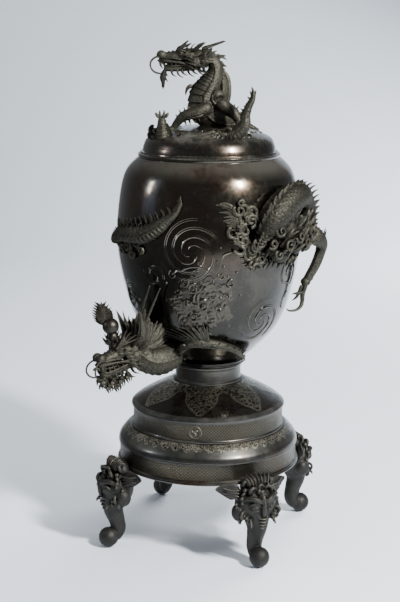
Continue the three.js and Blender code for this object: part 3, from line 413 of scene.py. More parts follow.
# Each finish's patina, roughness and wear, by the names that its maker above takes
POLISHED = {
    # The vase's heights darken its lower part with painted shade, which dims the floor's reflection
    "polished_bronze": dict(
        patina="dark", russet_from=0.45, rough=(0.12, 0.24), wax=0.4, heights=(0.44, 0.76), dust=0.55),
    "lid_bronze": dict(patina="dark", russet_from=0.52, rough=(0.18, 0.32), wax=0.4, mottle=16.0, dust=0.7),
    "stand_bronze": dict(patina="slate", russet_from=0.52, rough=(0.28, 0.42), wax=0.2, mottle=14.0),
    "diaper_bronze": dict(patina="dark", russet_from=0.46, rough=(0.38, 0.52), wax=0.05, mottle=14.0),
    "lappet_bronze": dict(
        patina="dark", russet_from=0.5, rough=(0.22, 0.38), wax=0.12, mottle=14.0, dust=0.06),
    "border_bronze": dict(patina="slate", russet_from=0.52, rough=(0.28, 0.42), wax=0.2, mottle=14.0),
    "foam_bronze": dict(patina="dark", russet_from=0.64, rough=(0.2, 0.36), wax=0.2, mottle=12.0, dust=0.12),
}
CHASED = {
    "dragon_bronze": dict(patina="olive", rough=(0.5, 0.7), wear=0.6, grain=0.5),
    # The coil's copy of the dragons' olive is darker by its depth: painted shade, as the coil faces the key
    # light
    "coil_bronze": dict(patina="olive", rough=(0.5, 0.7), depth=0.62, wear=0.5, grain=0.5, skin=0.65),
    "mask_bronze": dict(
        patina="slate", rough=(0.48, 0.7), depth=0.72, wear=0.85, grain=0.3, skin=0.25, edges=(0.51, 0.64)),
    "jewel_bronze": dict(patina="dark", rough=(0.34, 0.5), wear=0.3),
    "tarnished_copper": dict(patina="copper", rough=(0.4, 0.6)),
}
LAPPET_OUTLINE = [
    (0.0, 0.5), (0.2, 0.5), (0.28, 0.34), (0.45, 0.34), (0.62, 0.25), (0.8, 0.13), (1.0, 0.0),
]
BORDER_OUTLINE = [(0.0, 0.5), (0.45, 0.5), (0.75, 0.3), (1.0, 0.0)]


def finish(name):
    """The named material, made the first time it is asked for."""
    found = bpy.data.materials.get(name)
    if found:
        return found
    if name in CHASED:
        return chased(name, **CHASED[name])
    plain = polished(name, **POLISHED[name])
    rubbed = bpy.context.scene.vase_colours.rubbed
    if name == "diaper_bronze":
        return diaper(plain, 150, 0.0064, shade_of(rubbed, 0.45))
    if name == "lappet_bronze":
        first = math.radians(-97) + bpy.context.scene.vase_sizes.ornament_turn
        return lace(plain, shade_of(rubbed, 1.1), 7, first, 0.3255, 0.2865, LAPPET_OUTLINE, 150.0)
    if name == "border_bronze":
        return lace(plain, shade_of(rubbed, 1.1), 46, 0.0, 0.234, 0.221, BORDER_OUTLINE, 190.0)
    return plain


# Modelling helpers

def start_clean():
    """Leaves edit mode and deselects everything, so the next operator works on its own piece alone."""
    if bpy.context.mode != "OBJECT":
        bpy.ops.object.mode_set(mode="OBJECT")
    bpy.ops.object.select_all(action="DESELECT")


def pick(piece):
    start_clean()
    piece.select_set(True)
    bpy.context.view_layer.objects.active = piece


def settle(piece, material, crease=35):
    """Puts a finished piece's place into its mesh, smooths it and gives it its material."""
    pick(piece)
    bpy.ops.object.transform_apply(location=True, rotation=True, scale=True)
    bpy.ops.object.shade_smooth_by_angle(angle=math.radians(crease))
    piece.data.materials.clear()
    piece.data.materials.append(material)
    return piece


def smooth_outline(points):
    """Points on a smooth curve through the given [radius, height] points, in millimetres."""
    outline = []
    last = len(points) - 1
    between = 6
    for i in range(last):
        before, start = Vector(points[max(i - 1, 0)]), Vector(points[i])
        end, after = Vector(points[i + 1]), Vector(points[min(i + 2, last)])
        for step in range(between):
            t = step / between
            outline.append((
                0.5 * (2 * start + (end - before) * t + (2 * before - 5 * start + 4 * end - after) * t * t
                       + (3 * start - before - 3 * end + after) * t ** 3)
            ).to_tuple())
    outline.append(tuple(points[-1]))
    return outline


VASE_SIDE = np.array(smooth_outline(VASE_OUTLINE))
DOME_SIDE = np.array(smooth_outline(DOME_OUTLINE))[::-1]


def vase_radius(height):
    """The vase's outer radius at a height, in millimetres."""
    return float(np.interp(height, VASE_SIDE[:, 1], VASE_SIDE[:, 0]))


def by_wall(turn, height, out=0.0):
    """A place by the vase's wall, in millimetres: its turn from the show side in degrees, its height above
    the vase's underside and how far it stands out."""
    angle = math.radians(turn) + bpy.context.scene.vase_sizes.ornament_turn
    reach = vase_radius(VASE_BOTTOM + height) + out
    return Vector((reach * math.sin(angle), -reach * math.cos(angle), VASE_BOTTOM + height))


def by_walls(points):
    """Rows of [turn, height, out, radius] as rows of [x, y, z, radius]."""
    return [(*by_wall(*point[:3]), *point[3:]) for point in points]


def ornament_turn():
    return Matrix.Rotation(bpy.context.scene.vase_sizes.ornament_turn, 4, "Z")


def on_lid():
    """The place of the lid's ornaments, set out from the top of its dome."""
    return ornament_turn() @ Matrix.Translation((0, 0, LID_TOP))


def on_dome(across, away):
    """A place on the lid's dome, from the lid's own across and away."""
    reach = math.hypot(across, away)
    height = float(np.interp(reach, DOME_SIDE[:, 0], DOME_SIDE[:, 1]))
    return tuple(ornament_turn() @ Vector((across, away, height)))


def inner_outline(outline, wall):
    """The outline of the inside of a wall, run back the other way."""
    inner = []
    for i, (r, z) in enumerate(outline):
        before = outline[max(i - 1, 0)]
        after = outline[min(i + 1, len(outline) - 1)]
        along = Vector((after[0] - before[0], after[1] - before[1])).normalized()
        inner.append((max(r - along.y * wall, 0), z + along.x * wall))
    return inner[::-1]


def turned(name, outline, material):
    """Spins an outline of [radius, height] points in millimetres about the vase's axis."""
    start_clean()
    bpy.ops.mesh.primitive_plane_add(size=0.001, location=(0, 0, 0))
    piece = bpy.context.object
    piece.name = name
    bpy.ops.object.mode_set(mode="EDIT")
    bpy.ops.mesh.select_all(action="SELECT")
    bpy.ops.mesh.merge(type="CENTER")
    radius, height = outline[0]
    bpy.ops.transform.translate(value=(radius * MM, 0, height * MM))
    previous = Vector((radius, height))
    for point in outline[1:]:
        move = (Vector(point) - previous) * MM
        bpy.ops.mesh.extrude_region_move(TRANSFORM_OT_translate={"value": (move.x, 0, move.y)})
        previous = Vector(point)
    bpy.ops.mesh.select_all(action="SELECT")
    around = bpy.context.scene.vase_sizes.around
    bpy.ops.mesh.spin(steps=around, angle=2 * math.pi, center=(0, 0, 0), axis=(0, 0, 1))
    bpy.ops.mesh.select_all(action="SELECT")
    bpy.ops.mesh.remove_doubles(threshold=0.00001)
    bpy.ops.mesh.normals_make_consistent(inside=False)
    bpy.ops.object.mode_set(mode="OBJECT")
    return settle(piece, material)


def band(piece, low, high, reach, material):
    """Gives the outer faces between two heights and past a radius another material."""
    piece.data.materials.append(material)
    index = len(piece.data.materials) - 1
    for face in piece.data.polygons:
        level = face.center.z / MM
        outward = face.normal.xy.dot(face.center.xy) > 0 or face.normal.z > 0.3
        if low < level < high and outward and face.center.xy.length / MM > reach:
            face.material_index = index


def drill(piece, place, radius, depth):
    """Cuts an upright round hole through a piece."""
    start_clean()
    bpy.ops.mesh.primitive_cylinder_add(vertices=24, radius=radius, depth=depth, location=place)
    cutter = bpy.context.object
    pick(piece)
    hole = piece.modifiers.new("hole", "BOOLEAN")
    hole.object = cutter
    hole.operation = "DIFFERENCE"
    bpy.ops.object.modifier_apply(modifier="hole")
    bpy.data.objects.remove(cutter)


def take_place(piece, node):
    """The piece stands for a CAD node: it moves with that node's body, and the node is hidden."""
    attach(piece, body_of(frame["nodes"][node])[0])
    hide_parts(node)
    return piece


# Cast and chased forms

def smooth_path(points, step):
    """Evenly spaced rows on a smooth curve through rows of [x, y, z, radius], in millimetres."""
    rows = np.array(points, float)
    ends = np.vstack([2 * rows[0] - rows[1], rows, 2 * rows[-1] - rows[-2]])
    t = np.linspace(0, 1, 16, endpoint=False)[:, None]
    curve = [
        0.5 * (2 * b + (c - a) * t + (2 * a - 5 * b + 4 * c - d) * t ** 2
               + (3 * b - a - 3 * c + d) * t ** 3)
        for a, b, c, d in zip(ends, ends[1:], ends[2:], ends[3:])
    ]
    curve = np.vstack(curve + [rows[-1:]])
    lengths = np.linalg.norm(np.diff(curve[:, :3], axis=0), axis=1)
    along = np.concatenate([[0], np.cumsum(lengths)])
    even = np.linspace(0, along[-1], max(int(along[-1] / step), 5))
    return np.stack([np.interp(even, along, column) for column in curve.T], 1), even


def unit(rows):
    return rows / np.linalg.norm(rows, axis=-1, keepdims=True)


def directions(centres, back):
    """Unit directions along, to the back and to the side of a path, at each of its rows."""
    tangents = unit(np.gradient(centres, axis=0))
    back = back(centres) if callable(back) else np.broadcast_to(np.array(back, float), centres.shape)
    back = unit(back - (back * tangents).sum(1, keepdims=True) * tangents)
    return tangents, back, np.cross(tangents, back)


def rolled(name, surface):
    """A closed bar from a grid: surface[ring, step] is where each of its points goes, in millimetres."""
    rings, steps = surface.shape[:2]
    start_clean()
    bpy.ops.mesh.primitive_grid_add(x_subdivisions=steps - 1, y_subdivisions=rings - 1, size=1)
    piece = bpy.context.object
    piece.name = name
    places = np.empty(3 * len(piece.data.vertices))
    piece.data.vertices.foreach_get("co", places)
    places = places.reshape(-1, 3)
    column = np.rint((places[:, 0] + 0.5) * (steps - 1)).astype(int)
    row = np.rint((places[:, 1] + 0.5) * (rings - 1)).astype(int)
    piece.data.vertices.foreach_set("co", (surface[row, column] * MM).ravel())
    bpy.ops.object.mode_set(mode="EDIT")
    bpy.ops.mesh.select_all(action="SELECT")
    bpy.ops.mesh.remove_doubles(threshold=0.000002)
    bpy.ops.mesh.normals_make_consistent(inside=False)
    bpy.ops.object.mode_set(mode="OBJECT")
    return piece


def rounded_ends(along, radii, first, last):
    """Narrows a bar's first and last radii to a point, over the lengths given."""
    start = np.clip(along / max(first, 0.01), 0, 1)
    end = np.clip((along[-1] - along) / max(last, 0.01), 0, 1)
    return radii * np.sqrt(1 - (1 - start) ** 2) * np.sqrt(1 - (1 - end) ** 2)


def bar(points, back=None, around=8, step=2.4, flat=1.0, ridges=0):
    """A smooth bar along [x, y, z, radius] points in millimetres, flat times as wide as it is thick."""
    path, along = smooth_path(points, step)
    if back is None:
        chord = np.abs(path[-1, :3] - path[0, :3])
        back = np.eye(3)[int(np.argmin(chord))]
    _, up, side = directions(path[:, :3], back)
    radii = rounded_ends(along, path[:, 3], path[0, 3], path[-1, 3])
    turn = np.linspace(0, 2 * np.pi, around + 1)[None, :, None]
    ring = np.cos(turn) * up[:, None] + flat * np.sin(turn) * side[:, None]
    grooves = 1 + 0.16 * np.cos(ridges * turn) if ridges else 1
    return rolled("bar", path[:, None, :3] + radii[:, None, None] * ring * grooves)


def scale_relief(across, along):
    """How high overlapping rounded scales stand, from 0 to 1, in staggered rows."""
    height = np.zeros_like(across)
    for back in (0, 1):
        row = np.floor(along) - back
        x = across + 0.5 * np.mod(row, 2)
        x = x - np.floor(x) - 0.5
        y = along - row
        reach = 1 + 0.8 * np.sqrt(np.clip(1 - 4 * x * x, 0, 1))
        edge = np.clip((reach - y) * 6, 0, 1)
        lift = (0.2 + 0.8 * y / reach) * np.sqrt(edge) + 0.15 * np.exp(-40 * x * x)
        height = np.where(y <= reach, lift, height)
    return height


def scaly(points, back, size, crest, belly, ends=(1, 1), lift=0.24):
    """A dragon's body or limb from its head's end to its tail's end, through rows of [x, y, z, radius].

    It has overlapping scales, ribbed plates past the belly angle and a toothed crest down its back."""
    scale = size * bpy.context.scene.vase_sizes.scale / MM
    fineness = 1.25
    path, along = smooth_path(points, fineness)
    tangents, up, side = directions(path[:, :3], back)
    radii = path[:, 3]
    middle = float(np.mean(radii))
    around = int(min(2 * math.pi * max(radii) / fineness, 150)) // 2 * 2
    turn = np.linspace(-np.pi, np.pi, around + 1)[None, :]
    count = max(int(2 * math.pi * middle / scale), 8)
    pace = np.concatenate([[0], np.cumsum(np.diff(along) * middle / np.maximum(radii[1:], 0.3 * middle))])
    pace = pace / (0.62 * scale)
    rows = np.broadcast_to(pace[:, None], (len(pace), around + 1))
    scales = scale_relief(turn * count / (2 * np.pi) + 0 * rows, rows)
    plates = np.mod(rows / 1.6, 1) ** 1.5
    under = np.clip((np.abs(turn) - belly) * 14, 0, 1)
    relief = lift * scale * scales * (1 - under) + 0.26 * scale * plates * under
    relief = relief + 0.22 * scale * np.exp(-((np.abs(turn) - belly) / 0.07) ** 2)
    whole = rounded_ends(along, np.ones_like(radii), ends[0] * radii[0], ends[1] * radii[-1])[:, None]
    tooth = np.mod(pace / 2.6, 1)[:, None] ** 0.7
    spine = crest * radii[:, None] * tooth * np.clip(1 - np.abs(turn) / 0.14, 0, 1)
    out = whole * (radii[:, None] + (relief - 0.12 * scale) * radii[:, None] / middle + spine)
    ring = np.cos(turn)[..., None] * up[:, None] + np.sin(turn)[..., None] * side[:, None]
    swept = 0.6 * (whole * spine)[..., None] * tangents[:, None]
    return rolled("scaly", path[:, None, :3] + out[..., None] * ring + swept)


def moved(points, place):
    """Rows of [x, y, z] or [x, y, z, radius] taken by a matrix that turns, moves and evenly scales."""
    grown = place.to_scale()[0]
    return [(*(place @ Vector(row[:3])), *(grown * value for value in row[3:])) for row in points]


def lump(place, at, size, segments=24):
    """A rounded mass of the given half sizes, in a place's own millimetres."""
    start_clean()
    bpy.ops.mesh.primitive_uv_sphere_add(segments=segments, ring_count=segments // 2 + 2, radius=1)
    piece = bpy.context.object
    local = Matrix.Translation(at) @ Matrix.Diagonal((*size, 1))
    piece.data.transform(Matrix.Scale(MM, 4) @ place @ local)
    return piece


def ring(place, at, radius, thickness, facing):
    """A thin round ring that faces along a direction."""
    start_clean()
    bpy.ops.mesh.primitive_torus_add(
        major_segments=24, minor_segments=8, major_radius=radius, minor_radius=thickness)
    piece = bpy.context.object
    turned_to = Vector(facing).to_track_quat("Z", "Y").to_matrix().to_4x4()
    piece.data.transform(Matrix.Scale(MM, 4) @ place @ Matrix.Translation(at) @ turned_to)
    return piece


def strand(place, points, flat=1.0, back=None, around=8, step=2.2, ridges=0):
    """A tapered bar in a place's own millimetres."""
    if back is not None:
        back = tuple(place.to_3x3() @ Vector(back))
    return bar(moved(points, place), back, around, step, flat, ridges)


def thorn(place, root, tip, radius, bend=(0, 0, 0), flat=1.0, ridges=0):
    """A pointed spine from its root to its tip, bowed by a bend at its middle."""
    middle = (Vector(root) + Vector(tip)) / 2 + Vector(bend)
    points = [(*root, radius), (*middle, 0.7 * radius), (*tip, 0.1 * radius)]
    return strand(place, points, flat, around=10 if ridges else 7, ridges=ridges)


def curl(place, at, reach, thickness, across, up, turns, start, rise=0.0):
    """A scroll that winds in on itself in the plane of two directions, thinner towards its middle."""
    across, up = Vector(across).normalized(), Vector(up).normalized()
    facing = across.cross(up)
    points = []
    for step in range(15):
        share = step / 14
        angle = 2 * math.pi * (start + turns * share)
        out = reach * (1 - 0.8 * share)
        spot = (Vector(at) + across * out * math.cos(angle) + up * out * math.sin(angle)
                + facing * rise * share)
        points.append((*spot, thickness * (1 - 0.45 * share)))
    return strand(place, points, back=tuple(facing), around=7, step=1.8)


def wall_curl(turn, height, out, reach, thickness, turns, start, rise):
    """A scroll that lies along the vase's wall."""
    at = by_wall(turn, height, out)
    side = by_wall(turn + 1, height, out) - by_wall(turn - 1, height, out)
    up = by_wall(turn, height + 3, out) - by_wall(turn, height - 3, out)
    return curl(Matrix(), at, reach, thickness, side, up, turns, start, rise)


def blade(place, root, tip, radius, bend=(0, 0, 0), flat=0.55, ridges=5):
    """A thorn that is flat and grooved, as a tuft of hair or a leaf is."""
    return thorn(place, root, tip, radius, bend, flat, ridges)


def wall_blade(root, tip, radius, bend=(0, 0, 0), flat=0.55, ridges=5):
    """A blade between two places by the vase's wall."""
    return blade(Matrix(), by_wall(*root), by_wall(*tip), radius, bend, flat, ridges)


def tufts(place, ends, radius, bend=(0, 0, 0), flat=0.55):
    """A blade for each pair of a root and a tip."""
    return [blade(place, root, tip, radius, bend, flat) for root, tip in ends]


def join(name, pieces, material, crease=50):
    """One piece of several that are cast together."""
    start_clean()
    for piece in pieces:
        piece.select_set(True)
    bpy.context.view_layer.objects.active = pieces[0]
    if len(pieces) > 1:
        bpy.ops.object.join()
    pieces[0].name = name
    return settle(pieces[0], material, crease)


def weld(name, pieces, material, voxel):
    """Pieces fused into one skin, and slightly rounded as casting leaves it."""
    whole = join(name, pieces, material)
    for kind, values in (
        ("REMESH", {"mode": "VOXEL", "voxel_size": voxel * MM}),
        ("SMOOTH", {"factor": 0.5, "iterations": 2}),
    ):
        step = whole.modifiers.new(kind, kind)
        for key, value in values.items():
            setattr(step, key, value)
        bpy.ops.object.modifier_apply(modifier=kind)
    return settle(whole, material, 60)


def both(make):
    """What a function makes for the left and for the right side."""
    return [piece for side in (1, -1) for piece in make(side)]


def beside(side):
    """Gives a function that puts a point, with any radius, on the left side (1) or the right side (-1)."""
    return lambda x, y, z, *radius: (x, side * y, z, *radius)


# Turned pieces

class VASE_OT_vessel(bpy.types.Operator):
    """Spins the vase's body, its foot ring, the ring in its mouth and the liner."""
    bl_idname = "vase.vessel"
    bl_label = "Vase body"

    def execute(self, context):
        wall = context.scene.vase_sizes.wall / MM
        bronze = finish("polished_bronze")
        outer = smooth_outline(VASE_OUTLINE)
        mouth = [(138, 774.9), (125.3, 774.9), (125.3, 767.5)]
        inner = inner_outline(outer, wall)[1:]
        body = turned("vase_body_turned", outer + mouth + inner + [(0, 378), (0, 373.3), (72, 373.3)],
                      bronze)
        take_place(body, "vase_body")
        foot = turned("vase_foot_ring_turned", [
            (52.4, 332), (57.4, 332), (57.4, 362), (72, 362), (73.6, 362.6), (75, 364.4), (75, 365.6),
            (73.9, 366.6),
            (73.9, 368.4), (75, 369.4), (75, 370.6), (73.6, 372.4), (72, 373), (52.4, 373), (52.4, 332),
        ], bronze)
        take_place(foot, "vase_foot_ring")
        lip = turned("vase_mouth_ring_turned", [
            (125, 762.2), (125, 783), (124, 784), (121, 784), (120, 783), (120, 770.6), (114.6, 770.6),
            (114, 770), (114, 762.2), (125, 762.2),
        ], bronze)
        take_place(lip, "vase_mouth_ring")
        bowl = smooth_outline([(0, 655.4), (40, 656.6), (72.8, 665.5), (93, 683), (101.5, 708),
                               (101.5, 772.2)])
        under = [(r + (2.5 if r > 60 else 0), z - 2.4) for r, z in bowl[::-1]]
        rim = [(102.5, 773.4), (118.4, 773.4), (119.4, 772.4), (119.4, 771), (104.2, 771)]
        take_place(turned("ash_liner_spun", bowl + rim + under[1:], finish("tarnished_copper")), "ash_liner")
        return {"FINISHED"}


def wall_sheet(name, turns, heights, lift, material):
    """A thin casting laid over the wall, as high at each [turn, height] as lift gives in millimetres."""
    across = np.arange(turns[0], turns[1], 0.32)
    up = np.arange(heights[0], heights[1], 1.0)
    start_clean()
    bpy.ops.mesh.primitive_grid_add(x_subdivisions=len(across) - 1, y_subdivisions=len(up) - 1, size=1)
    sheet = bpy.context.object
    sheet.name = name
    for vertex in sheet.data.vertices:
        turn = across[round((vertex.co.x + 0.5) * (len(across) - 1))]
        height = up[round((vertex.co.y + 0.5) * (len(up) - 1))]
        vertex.co = by_wall(turn, height, lift(turn, height)) * MM
    pick(sheet)
    shell = sheet.modifiers.new("shell", "SOLIDIFY")
    shell.thickness = 0.0025
    shell.offset = -1
    bpy.ops.object.modifier_apply(modifier="shell")
    return settle(sheet, material, 80)


def foam_height(turn, height):
    """Rocky foam: knobs and furrows that drift upwards, sunk below the wall past its ragged edge."""
    place = Vector((2.9 * turn, height, 0)) / 30
    ragged = 0.75 * noise.fractal(place * 1.1, 0.8, 2.1, 4)
    reach = ((turn + 4) / 23) ** 2 + (abs(height - 150 - 0.5 * turn) / 72) ** 2.4 + ragged
    edge = min(max((1 - reach) * 1.3, 0), 1)
    drift = place + 0.45 * noise.noise_vector(place * 1.6)
    near = noise.voronoi(drift * 2.1)[0]
    knobs = max(0, 1 - 1.3 * near[0])
    furrows = min(2.4 * (near[1] - near[0]), 1)
    grit = noise.fractal(drift * 7, 0.7, 2.1, 3)
    return edge * (1.5 + 2.8 * knobs * furrows + 0.45 * grit) - 0.8


class VASE_OT_relief(bpy.types.Operator):
    """Lays the whirlpools' raised lines and the foam in low relief on the vase."""
    bl_idname = "vase.relief"
    bl_label = "Waves in relief"

    def execute(self, context):
        bronze = finish("polished_bronze")
        lines = []

        def line(points, thick):
            ends = [(*point, thick * math.sin(math.pi * (0.08 + 0.9 * i / (len(points) - 1))) ** 0.6)
                    for i, point in enumerate(points)]
            lines.append(bar(by_walls(ends), around=6, step=2.0))

        for turn, height, reach, arms, turns in WHIRLPOOLS:
            round_wall = math.degrees(1 / vase_radius(VASE_BOTTOM + height))
            for arm in range(arms):
                for gap, first, thick in ((0, 0.05, 1.6), (3.6, 0.45, 1.0)):
                    points = []
                    for step in range(40):
                        share = first + (1 - first) * step / 39
                        angle = -2 * math.pi * (0.25 + arm / arms + turns * share)
                        out = reach * (0.07 + 0.93 * share) + gap
                        points.append((turn + round_wall * out * math.cos(angle),
                                       height + out * math.sin(angle), 0.1))
                    line(points, thick)
        line([(-23, 207, 0.6), (-19, 216, 0.8), (-16, 217, 0.8), (-13, 222, 0.8), (-9, 225, 0.8),
              (-4, 224, 0.8), (1, 216, 0.8)], 2)
        line([(8, 240, 1), (9, 248, 1.4), (12, 252, 1.4), (16, 253, 1)], 2.4)
        take = join("vase_whirl_lines", lines, bronze)
        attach(take, "vase")
        noise.seed_set(FOAM_SEED)
        foam = wall_sheet("vase_foam_relief", (-30, 24), (78, 224), foam_height, finish("foam_bronze"))
        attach(foam, "vase")
        curls = []
        for turn, height, reach, start in (
            (-22, 208, 9, 0.3), (-15, 196, 11, 0.7), (-8, 211, 9, 0.1), (0, 200, 10, 0.9), (8, 208, 8, 0.4),
            (14, 192, 9, 0.2), (-19, 176, 8, 0.5), (-9, 182, 12, 0.2), (3, 172, 9, 0.6), (11, 168, 8, 0.8),
            (-14, 152, 10, 0.9), (-3, 148, 11, 0.4), (7, 142, 8, 0.1), (-10, 126, 9, 0.6), (1, 118, 9, 0.3),
            (-5, 98, 8, 0.8),
        ):
            curls.append(wall_curl(turn, height, 1.2, reach, 1.5, 1.1, start, 0.8))
        drops = [(7, 262), (5, 236), (-27, 190), (12, 206), (17, 214), (-6, 232), (21, 168), (9, 226)]
        for turn, height in drops:
            curls.append(lump(Matrix(), by_wall(turn, height, 0), (2.6, 2.6, 2.6), 12))
        swirls = join("vase_foam_curls", curls, finish("foam_bronze"))
        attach(swirls, "vase")
        return {"FINISHED"}


class VASE_OT_tiers(bpy.types.Operator):
    """Spins the stand's two tiers and its collar, and sets the whirl roundel on the upper band."""
    bl_idname = "vase.tiers"
    bl_label = "Stand tiers and collar"

    def execute(self, context):
        bronze = finish("stand_bronze")
        lower_dome = smooth_outline([(181.7, 203), (179.4, 211), (173.2, 219.5), (166.5, 227),
                                     (158.5, 233.5)])
        lower = turned("stand_lower_tier_turned", [
            (177, 158), (182.4, 158), (184, 159), (184.5, 160.6), (184, 162), (182.6, 162.6), (182.6, 163.2),
            (183.2, 164), (182.8, 165.2), (181, 165.8), (179.8, 166.4), (179.4, 167.4), (179.4, 196),
            (180, 197), (181.4, 198.2), (181.8, 199.8), (181.2, 201.2), (181.2, 202), (181.7, 203),
        ] + lower_dome[1:] + [
            (140.5, 233.5), (140.5, 229), (155, 229), (170, 213), (176, 200), (176, 158), (177, 158),
        ], bronze)
        band(lower, 167.4, 196, 178, finish("diaper_bronze"))
        band(lower, 221, 233.8, 150, finish("border_bronze"))
        take_place(lower, "stand_lower_tier")
        upper_dome = smooth_outline([(154.6, 278), (144.5, 286.5), (120, 301.5), (74, 325)])
        upper = turned("stand_upper_tier_turned", [
            (155.5, 233.8), (156, 235), (155.8, 236.4), (154.4, 237), (152.6, 237.4), (152, 238.4),
            (151.6, 240),
            (151.4, 270), (152, 271.2), (153.2, 271.6), (153.2, 272.6), (154.6, 273.4), (155.1, 275),
            (154.6, 278),
        ] + upper_dome[1:] + [
            (54, 325), (54, 320), (72, 320), (119.5, 296), (147, 274), (147, 233.8), (155.5, 233.8),
        ], bronze)
        band(upper, 240, 270, 150, finish("diaper_bronze"))
        band(upper, 285, 326, 72, finish("lappet_bronze"))
        take_place(upper, "stand_upper_tier")
        collar = turned("stand_collar_turned", [
            (58, 325.3), (69.6, 325.3), (70, 326.5), (70, 328.6), (66.6, 331), (66, 333), (65.8, 352.4),
            (66.4, 353),
            (66.4, 354.2), (67.4, 355), (68, 356.4), (68, 359.4), (67.4, 360), (58, 360), (58, 325.3),
        ], bronze)
        take_place(collar, "stand_collar")
        angle = math.radians(-9.3) + context.scene.vase_sizes.ornament_turn
        place = Matrix.Rotation(angle - math.pi / 2, 4, "Z") @ Matrix.Translation((151.3, 0, 255.5))
        parts = [ring(place, (0.4, 0, 0), 12, 1.4, FORWARD), ring(place, (0.2, 0, 0), 9.4, 0.7, FORWARD)]
        for i in range(3):
            turn = 2 * math.pi * i / 3
            at = (0.6, 3.6 * math.cos(turn), 3.6 * math.sin(turn))
            parts.append(curl(place, at, 4.2, 1.5, (0, math.cos(turn), math.sin(turn)),
                              (0, -math.sin(turn), math.cos(turn)), 0.7, 0.1))
        whirl = join("stand_whirl_roundel", parts, finish("mask_bronze"))
        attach(whirl, "stand")
        return {"FINISHED"}


class VASE_OT_lid(bpy.types.Operator):
    """Spins the lid, drills its vents and the hole for the dragon's stud, and lays waves on its dome."""
    bl_idname = "vase.lid"
    bl_label = "Lid"

    def execute(self, context):
        rim = [
            (136.5, 774.6), (138.6, 775.2), (139.5, 777.2), (139.5, 780.2), (138.4, 781.4), (136.4, 782),
            (136, 783), (134.8, 783.8), (134.4, 785.6), (130, 786.6),
        ]
        dome = smooth_outline(DOME_OUTLINE)
        outline = rim + dome + [
            (0, 829), (68, 825), (99, 816), (116, 804.8), (125.7, 787.6), (125.7, 774.6), (136.5, 774.6)]
        lid = turned("lid_dome_turned", outline, finish("lid_bronze"))
        drills = [(Vector((x, y, 805)), 5) for x, y in LID_VENTS]
        drills.append((Vector((6, 8, 820)), 4.3))
        for place, radius in drills:
            drill(lid, ornament_turn() @ (place * MM), radius * MM, 0.06)
        take_place(lid, "lid_dome")
        waves = []
        for i in range(26):
            first = 2.4 * i
            reach = 58 + 50 * (0.5 + 0.5 * math.sin(2.6 * i))
            points = []
            for step in range(17):
                angle = first + 0.42 * step / 16
                out = reach + 3.2 * math.sin(2 * math.pi * step / 8)
                points.append((*on_dome(out * math.cos(angle), out * math.sin(angle)),
                               0.85 * math.sin(math.pi * (0.1 + 0.8 * step / 16))))
            waves.append(bar(points, UPRIGHT, 6, 2))
        for x, y in LID_VENTS:
            points = []
            for step in range(13):
                angle = 2 * math.pi * step / 12
                points.append((*on_dome(x + 7 * math.cos(angle), y + 7 * math.sin(angle)), 1.1))
            waves.append(bar(points, UPRIGHT, 6, 1.5))
        lines = join("lid_wave_lines", waves, finish("lid_bronze"))
        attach(lines, "lid")
        return {"FINISHED"}


# The dragons' parts

def head_place(nape, snout, size):
    """The place of a head: its nape at the origin, +X to the snout and +Z to the crown."""
    x = Vector(snout).normalized()
    y = Vector(UPRIGHT).cross(x).normalized()
    z = x.cross(y)
    return Matrix.Translation(nape) @ Matrix((x, y, z)).transposed().to_4x4() @ Matrix.Scale(size, 4)


